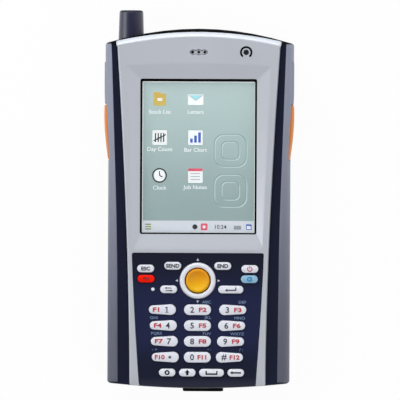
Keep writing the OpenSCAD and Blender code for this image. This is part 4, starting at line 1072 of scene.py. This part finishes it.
def build_control(node, side, y0, y1, bulge, flange_low, flange_high, material):
    """A trigger or side key: face that follows the body's side plus a bulge, soft edge, stem and flange."""
    soft, corner, stem_x = 0.5, 0.9, FLANGE_X + 1.0
    z0, z1 = CONTROL_Z0, CONTROL_Z1
    middle = np.array([(y0 + y1) / 2, (z0 + z1) / 2])

    def upright(low_y, high_y, low_z, high_z, radius):
        """Rounded rectangle in the plane of the side, as (y, z) points."""
        box = rounded_box((high_y - low_y) / 2, low_z, high_z, radius, 10, 6)
        return box + [(low_y + high_y) / 2, 0]

    def drawn_in(inset):
        return upright(y0 + inset, y1 - inset, z0 + inset, z1 - inset, corner - inset)

    def straight_in(loop, x):
        return np.column_stack([np.full(len(loop), x), loop])

    def on_side(loop, depth):
        """Puts a loop on the side's surface plus the bulge, which is weaker at the edges, less the depth."""
        y, z = loop.T
        across = (z - middle[1]) / ((z1 - z0) / 2)
        x = side_surface(y, z) + bulge((y - y0) / (y1 - y0)) * (1 - 0.6 * across ** 2) - depth
        return np.column_stack([x, loop])

    deep = SIDE_GAP + FLANGE
    flange, rim = upright(y0 - flange_low, y1 + flange_high, z0 - deep, z1 + deep, 0.3), drawn_in(soft)
    spine = np.column_stack([np.clip(rim[:, 0], y0 + 4, y1 - 4), np.full(len(rim), middle[1])])
    loops = [straight_in(flange * 0 + middle, FLANGE_X), straight_in(flange, FLANGE_X),
             straight_in(flange, stem_x), straight_in(drawn_in(0), stem_x)]
    loops += [on_side(drawn_in(soft * turn), soft * down) for turn, down in quarter(7)]
    loops += [on_side(rim + (1 - s) * (spine - rim), 0) for s in (0.9, 0.7, 0.45, 0.2, 0.0)]
    points, faces = skin(loops)
    make(node + "_cap", [(points * [side, 1, 1], faces)], node, material, node, sharp=45)


def build_controls():
    """Both triggers, bowed out most above their middle, and both side keys."""
    for side, name in ((-1, "left"), (1, "right")):
        build_control(name + "_trigger", side, TRIGGER_Y0, TRIGGER_Y1, bowed, FLANGE, 0, trigger_orange)
        build_control(name + "_side_key", side, SIDE_KEY_Y0, SIDE_KEY_Y1, level, 0, FLANGE, grip_rubber_painted_shade)


# --- Screen ---

def screen_material(name, colour, low_colour=None, heights=None):
    """Backlit screen colour: part of it glows and part is lit from outside."""
    glow = 0.55
    material = moulded(name, colour, 0.6, clouding=0.02, speckle=0.01, relief=0.0)
    if low_colour:
        shaded_along(material, (colour, low_colour), heights)
    shader = material.node_tree.nodes["Principled BSDF"]
    source = shader.inputs["Base Color"].links[0].from_socket
    material.node_tree.links.new(source, shader.inputs["Emission Color"])
    shader.inputs["Emission Strength"].default_value = glow
    return material


def glass_material():
    """Clear glass."""
    material = bpy.data.materials.new("panel_glass")
    material.use_nodes = True
    shader = material.node_tree.nodes["Principled BSDF"]
    for key, value in (("Base Color", (1, 1, 1, 1)), ("Roughness", 0.03), ("IOR", 1.45),
                       ("Transmission Weight", 1.0)):
        shader.inputs[key].default_value = value
    return material


PICTURE_Z = panel_low[2]
PICTURE_HALF = WINDOW_HALF - FRAME_LINE
BAR_TOP = WINDOW_Y0 + 6.4
FILM = 0.005
LAYER_STEP = 0.015


def shown(part, layer):
    """Puts a flat part of the picture on its layer above the display module."""
    return laid_on(part, PICTURE_Z + LAYER_STEP * layer, 0)


def patch(layer, outlines, centre=(0, 0)):
    """A film of the picture inside the first outline and outside the others."""
    return shown(slab([outline + centre for outline in outlines], FILM), layer)


def corners(x0, y0, x1, y1):
    """Outline of a rectangle."""
    return np.array([[x0, y0], [x1, y0], [x1, y1], [x0, y1]])


def tile(half, radius=0.5):
    """Outline of a square with round corners about the origin."""
    return rounded_box(half, -half, half, radius, 4, 4)


def build_screen():
    """A plain start page: six made-up signs with words, a faint pattern of frames and a bar with the time."""
    wall = screen_material("screen_wallpaper", "#adc1c1", "#8da2a3", (WINDOW_Y1, BAR_TOP))
    area = rounded_box(WINDOW_HALF + 0.6, WINDOW_Y0 - 0.6, WINDOW_Y1 + 0.6, 0.3)
    make("screen_picture", [patch(1, [area])], "terminal", wall)
    colours = {
        "white": "#eef3f4", "dark": "#15191c", "bar": "#cbd1d9", "shade": "#819898", "light": "#bdd0d0",
        "blue": "#3d62b8", "red": "#d2566a", "amber": "#c9b25a", "green": "#7c8f3c", "grey": "#8d939c",
        "sky": "#9fdbe2"}
    parts = {name: [] for name in colours}
    parts["bar"].append(patch(2, [corners(-29, WINDOW_Y0 - 0.5, 29, BAR_TOP)]))
    frame_y0, frame_y1, frame_t = WINDOW_Y0 + 0.55, WINDOW_Y1 - FRAME_LINE, 0.3
    parts["white"].append(patch(3, [
        rounded_box(PICTURE_HALF, frame_y0, frame_y1, 0.4),
        rounded_box(PICTURE_HALF - frame_t, frame_y0 + frame_t, frame_y1 - frame_t, 0.3)]))
    for half, y in ((7.8, 24), (4.4, 24), (7.8, 5), (4.4, 5)):
        nest = [rounded_box(w, -w, w, w * 0.6, 8, 8) for w in (half, half - 0.4)]
        for name, shift, layer in (("light", 0.35, 2), ("shade", 0, 3)):
            parts[name].append(patch(layer, nest, (15 + shift, y - shift)))

    card = ("white", 2, tile(3.4, 0.3))
    for words, x, y, drawings in (
            ("Stock List", -18.5, 48, (
                ("amber", 2, tile(2.9)), ("amber", 2, corners(-2.9, 2.2, 0.2, 3.5)),
                ("white", 3, corners(-1.1, -0.6, 1.1, 0.6)))),
            ("Letters", -1.5, 48, (
                ("white", 2, corners(-3.6, -2.4, 3.6, 2.4)),
                ("sky", 3, np.array([[-3.3, 2.1], [0, -0.4], [3.3, 2.1]])),
                ("grey", 4, bar((-3.3, 2.1), (0, -0.4), 0.3)), ("grey", 4, bar((0, -0.4), (3.3, 2.1), 0.3)))),
            ("Day Count", -18.5, 30, (
                card, *(("dark", 3, bar((x, -2.2), (x, 2.2), 0.6)) for x in (-2.0, -0.7, 0.6, 1.9)),
                ("dark", 4, bar((-2.9, -1.6), (2.9, 1.4), 0.6)))),
            ("Bar Chart", -1.5, 30, (
                card, *(("blue", 3, bar((x, -2.4), (x, top), 1.3))
                        for x, top in ((-1.9, -0.4), (0, 1), (1.9, 2.5))))),
            ("Clock", -18.5, 12, (
                ("dark", 2, circle((0, 0), 3.5)), ("white", 3, circle((0, 0), 2.8)),
                ("dark", 4, bar((0, 0), (0, 2.1), 0.5)), ("dark", 4, bar((-0.1, 0), (1.5, -0.8), 0.5)))),
            ("Job Notes", -1.5, 12, (
                card, ("red", 3, corners(-3.4, 2.0, 3.4, 3.4)),
                *(("grey", 3, bar((-2.4, y), (2.4, y), 0.4)) for y in (0.9, -0.5, -1.9))))):
        parts["white"].append(shown(lettering(words, 2.7, x, y - 5.8, thick=FILM), 4))
        for name, layer, outline in drawings:
            parts[name].append(patch(layer, [outline], (x, y)))

    middle = (BAR_TOP + WINDOW_Y0 + 0.6) / 2
    for name, layer, x, outline in (
            *(("green", 3, 0, bar((-25.2, y), (-22.4, y), 0.55)) for y in (-1.1, 0, 1.1)),
            ("dark", 3, -1.6, circle((0, 0), 1.2, 24)), ("red", 3, 2.8, tile(1.6, 0.4)),
            ("white", 4, 2.8, circle((0, 0), 0.7, 24)), ("grey", 3, 18.6, corners(-1.7, -1.2, 1.7, 0.6)),
            ("blue", 3, 24, tile(1.3, 0.2)), ("white", 4, 24, corners(-0.9, -0.9, 0.9, 0.4))):
        parts[name].append(patch(layer, [outline], (x, middle)))
    parts["dark"].append(shown(lettering("10:24", 2.7, 10.4, middle, 0.03, thick=FILM), 3))
    for name, pieces in parts.items():
        material = screen_material("screen_" + name, colours[name])
        make("screen_" + name, pieces, "terminal", material, weld=False)


def build_glass():
    """The clear touch panel, with softened edges, and the dark line printed round its view, drawn wide enough
    to take in the lip's shadow as well: partly print, partly painted shadow.
    """
    z0, z1, soft = PICTURE_Z + 0.12, panel_high[2], 0.2
    full, small = (rounded_box(panel_high[0] - inset, panel_low[1] + inset, panel_high[1] - inset, 1.2)
                   for inset in (0, soft))
    sides = tube((small, z0), (full, z0 + soft), (full, z1 - soft), (small, z1))
    make("display_glass", [sides, flat([small], z0, up=False), flat([small], z1)], "terminal",
         glass_material(), "touch_panel", sharp=30)
    border = [rounded_box(WINDOW_HALF + 0.4, WINDOW_Y0 - 0.4, WINDOW_Y1 + TOP_LINE + 0.4, 1.2),
              rounded_box(PICTURE_HALF, WINDOW_Y0 + 0.5, WINDOW_Y1 - FRAME_LINE, 0.5)]
    make("view_border", [laid_on(slab(border, 0.02), z1 + 0.025)], "terminal", INK["black"])


# --- Stage, lights and camera ---

def seen_rays(tree):
    """1 on rays by which the background is seen: straight, mirrored or through glass."""
    path = add(tree, "ShaderNodeLightPath")
    seen = add(tree, "ShaderNodeMath", {0: path.outputs["Is Camera Ray"], 1: path.outputs["Is Glossy Ray"]},
               operation="MAXIMUM")
    return add(tree, "ShaderNodeMath", {0: seen.outputs[0], 1: path.outputs["Is Transmission Ray"]},
               operation="MAXIMUM").outputs[0]


def build_stage():
    """White floor, a soft white surround, and three large lamps that face the middle."""
    mesh = bpy.data.meshes.new("floor")
    half, z = 3.0, -0.1 * MM
    mesh.from_pydata([(x, y, z) for x, y in corners(-half, -half, half, half)], [], [(0, 1, 2, 3)])
    floor = in_scene("floor", mesh)
    material = bpy.data.materials.new("floor_white")
    material.use_nodes = True
    tree = material.node_tree
    tree.nodes.clear()
    diffuse = add(tree, "ShaderNodeBsdfDiffuse", {"Color": (0.9, 0.9, 0.9, 1)})
    glow = add(tree, "ShaderNodeEmission", {"Color": (1, 1, 1, 1), "Strength": 1.0})
    share = add(tree, "ShaderNodeMath", {0: seen_rays(tree), 1: 0.95}, operation="MULTIPLY")
    mix = add(tree, "ShaderNodeMixShader", {0: share.outputs[0], 1: diffuse.outputs[0], 2: glow.outputs[0]})
    add(tree, "ShaderNodeOutputMaterial", {"Surface": mix.outputs[0]})
    mesh.materials.append(material)

    world = bpy.data.worlds.new("studio")
    bpy.context.scene.world = world
    world.use_nodes = True
    tree = world.node_tree
    tree.nodes.clear()
    direction = add(tree, "ShaderNodeTexCoord").outputs["Generated"]
    height = add(tree, "ShaderNodeSeparateXYZ", {0: direction}).outputs["Z"]
    ceiling = add(tree, "ShaderNodeMapRange", {
        "Value": height, "From Min": 0.35, "From Max": 0.85, "To Min": 1.0, "To Max": 0.3}).outputs["Result"]
    dim = add(tree, "ShaderNodeBackground", {"Color": (1, 1, 1, 1), "Strength": 0.4})
    bright = add(tree, "ShaderNodeBackground", {"Color": (1, 1, 1, 1), "Strength": ceiling})
    mix = add(tree, "ShaderNodeMixShader", {0: seen_rays(tree), 1: dim.outputs[0], 2: bright.outputs[0]})
    add(tree, "ShaderNodeOutputWorld", {"Surface": mix.outputs[0]})

    for name, place, size, power in (("key_light", (-0.1, 0.95, 0.5), (1.0, 0.5), 8.2),
                                     ("side_light", (-0.9, 0.1, 0.5), (0.8, 0.5), 3.5),
                                     ("fill_light", (0.6, -0.5, 0.8), (0.8, 0.8), 3.7)):
        light = bpy.data.lights.new(name, "AREA")
        light.shape = "RECTANGLE"
        light.size, light.size_y = size
        light.energy = power
        lamp = in_scene(name, light)
        lamp.location = place
        lamp.rotation_euler = (-Vector(place)).to_track_quat("-Z", "Y").to_euler()


def build_camera():
    """Long lens from straight above, turned a little to the right and rolled a quarter of a degree."""
    mm_per_pixel, width = 0.474, 400
    lens, sensor = 1000.0, 36.0
    yaw, roll = math.radians(2.0), math.radians(0.27)
    target = Vector((0.92, WINDOW_Y - 20.46, COVER_Z1)) * MM
    distance = mm_per_pixel * width * MM * lens / sensor
    data = bpy.data.cameras.new("camera")
    data.lens, data.sensor_width = lens, sensor
    data.clip_start, data.clip_end = 0.05, 20
    holder = in_scene("camera", data)
    turn = Matrix.Rotation(yaw, 4, "Y") @ Matrix.Rotation(roll, 4, "Z")
    holder.matrix_world = Matrix.Translation(target) @ turn @ Matrix.Translation((0, 0, distance))
    bpy.context.scene.camera = holder


bpy.context.scene.view_settings.view_transform = "Standard"
build_camera()
build_stage()
build_cover()
build_plate()
FINISHES = {"key_fn": (key_red, "key_red"), "key_alpha": (key_blue, "key_blue")}
for node in KEYS:
    build_key(node, *FINISHES.get(node, (key_pale, "key_pale")))
build_number_signs()
build_signs()
build_navigation()
build_prints()
build_lenses()
build_grip(-1)
build_grip(1)
build_antenna()
build_controls()
build_screen()
build_glass()

softened("front_housing", shell_two_tone_and_painted_shade)
softened("rear_housing", shell_black)
softened("port_cover", cover_rubber, width=0.15, corner=0.8)
softened("battery_door", case_dark, width=0.2)

CARRIED = {
    "lcd_module": case_dark, "display_gasket": seal_black, "housing_seal": seal_black,
    "housing_screws": steel, "main_board": board_green, "keypad_mat": silicone, "receiver": case_dark,
    "loudspeaker": case_dark, "microphone": steel, "scan_engine": case_dark, "scan_window": scan_red,
    "side_switches": steel,
    "dock_connector": case_dark, "nav_pivot": case_dark, "battery_pack": case_dark, "battery_contacts": gold,
    "door_pin": steel, "door_catch": steel, "port_cover_pin": steel}
for node, material in CARRIED.items():
    mesh = frame["nodes"][node].data
    mesh.materials.clear()
    mesh.materials.append(material)
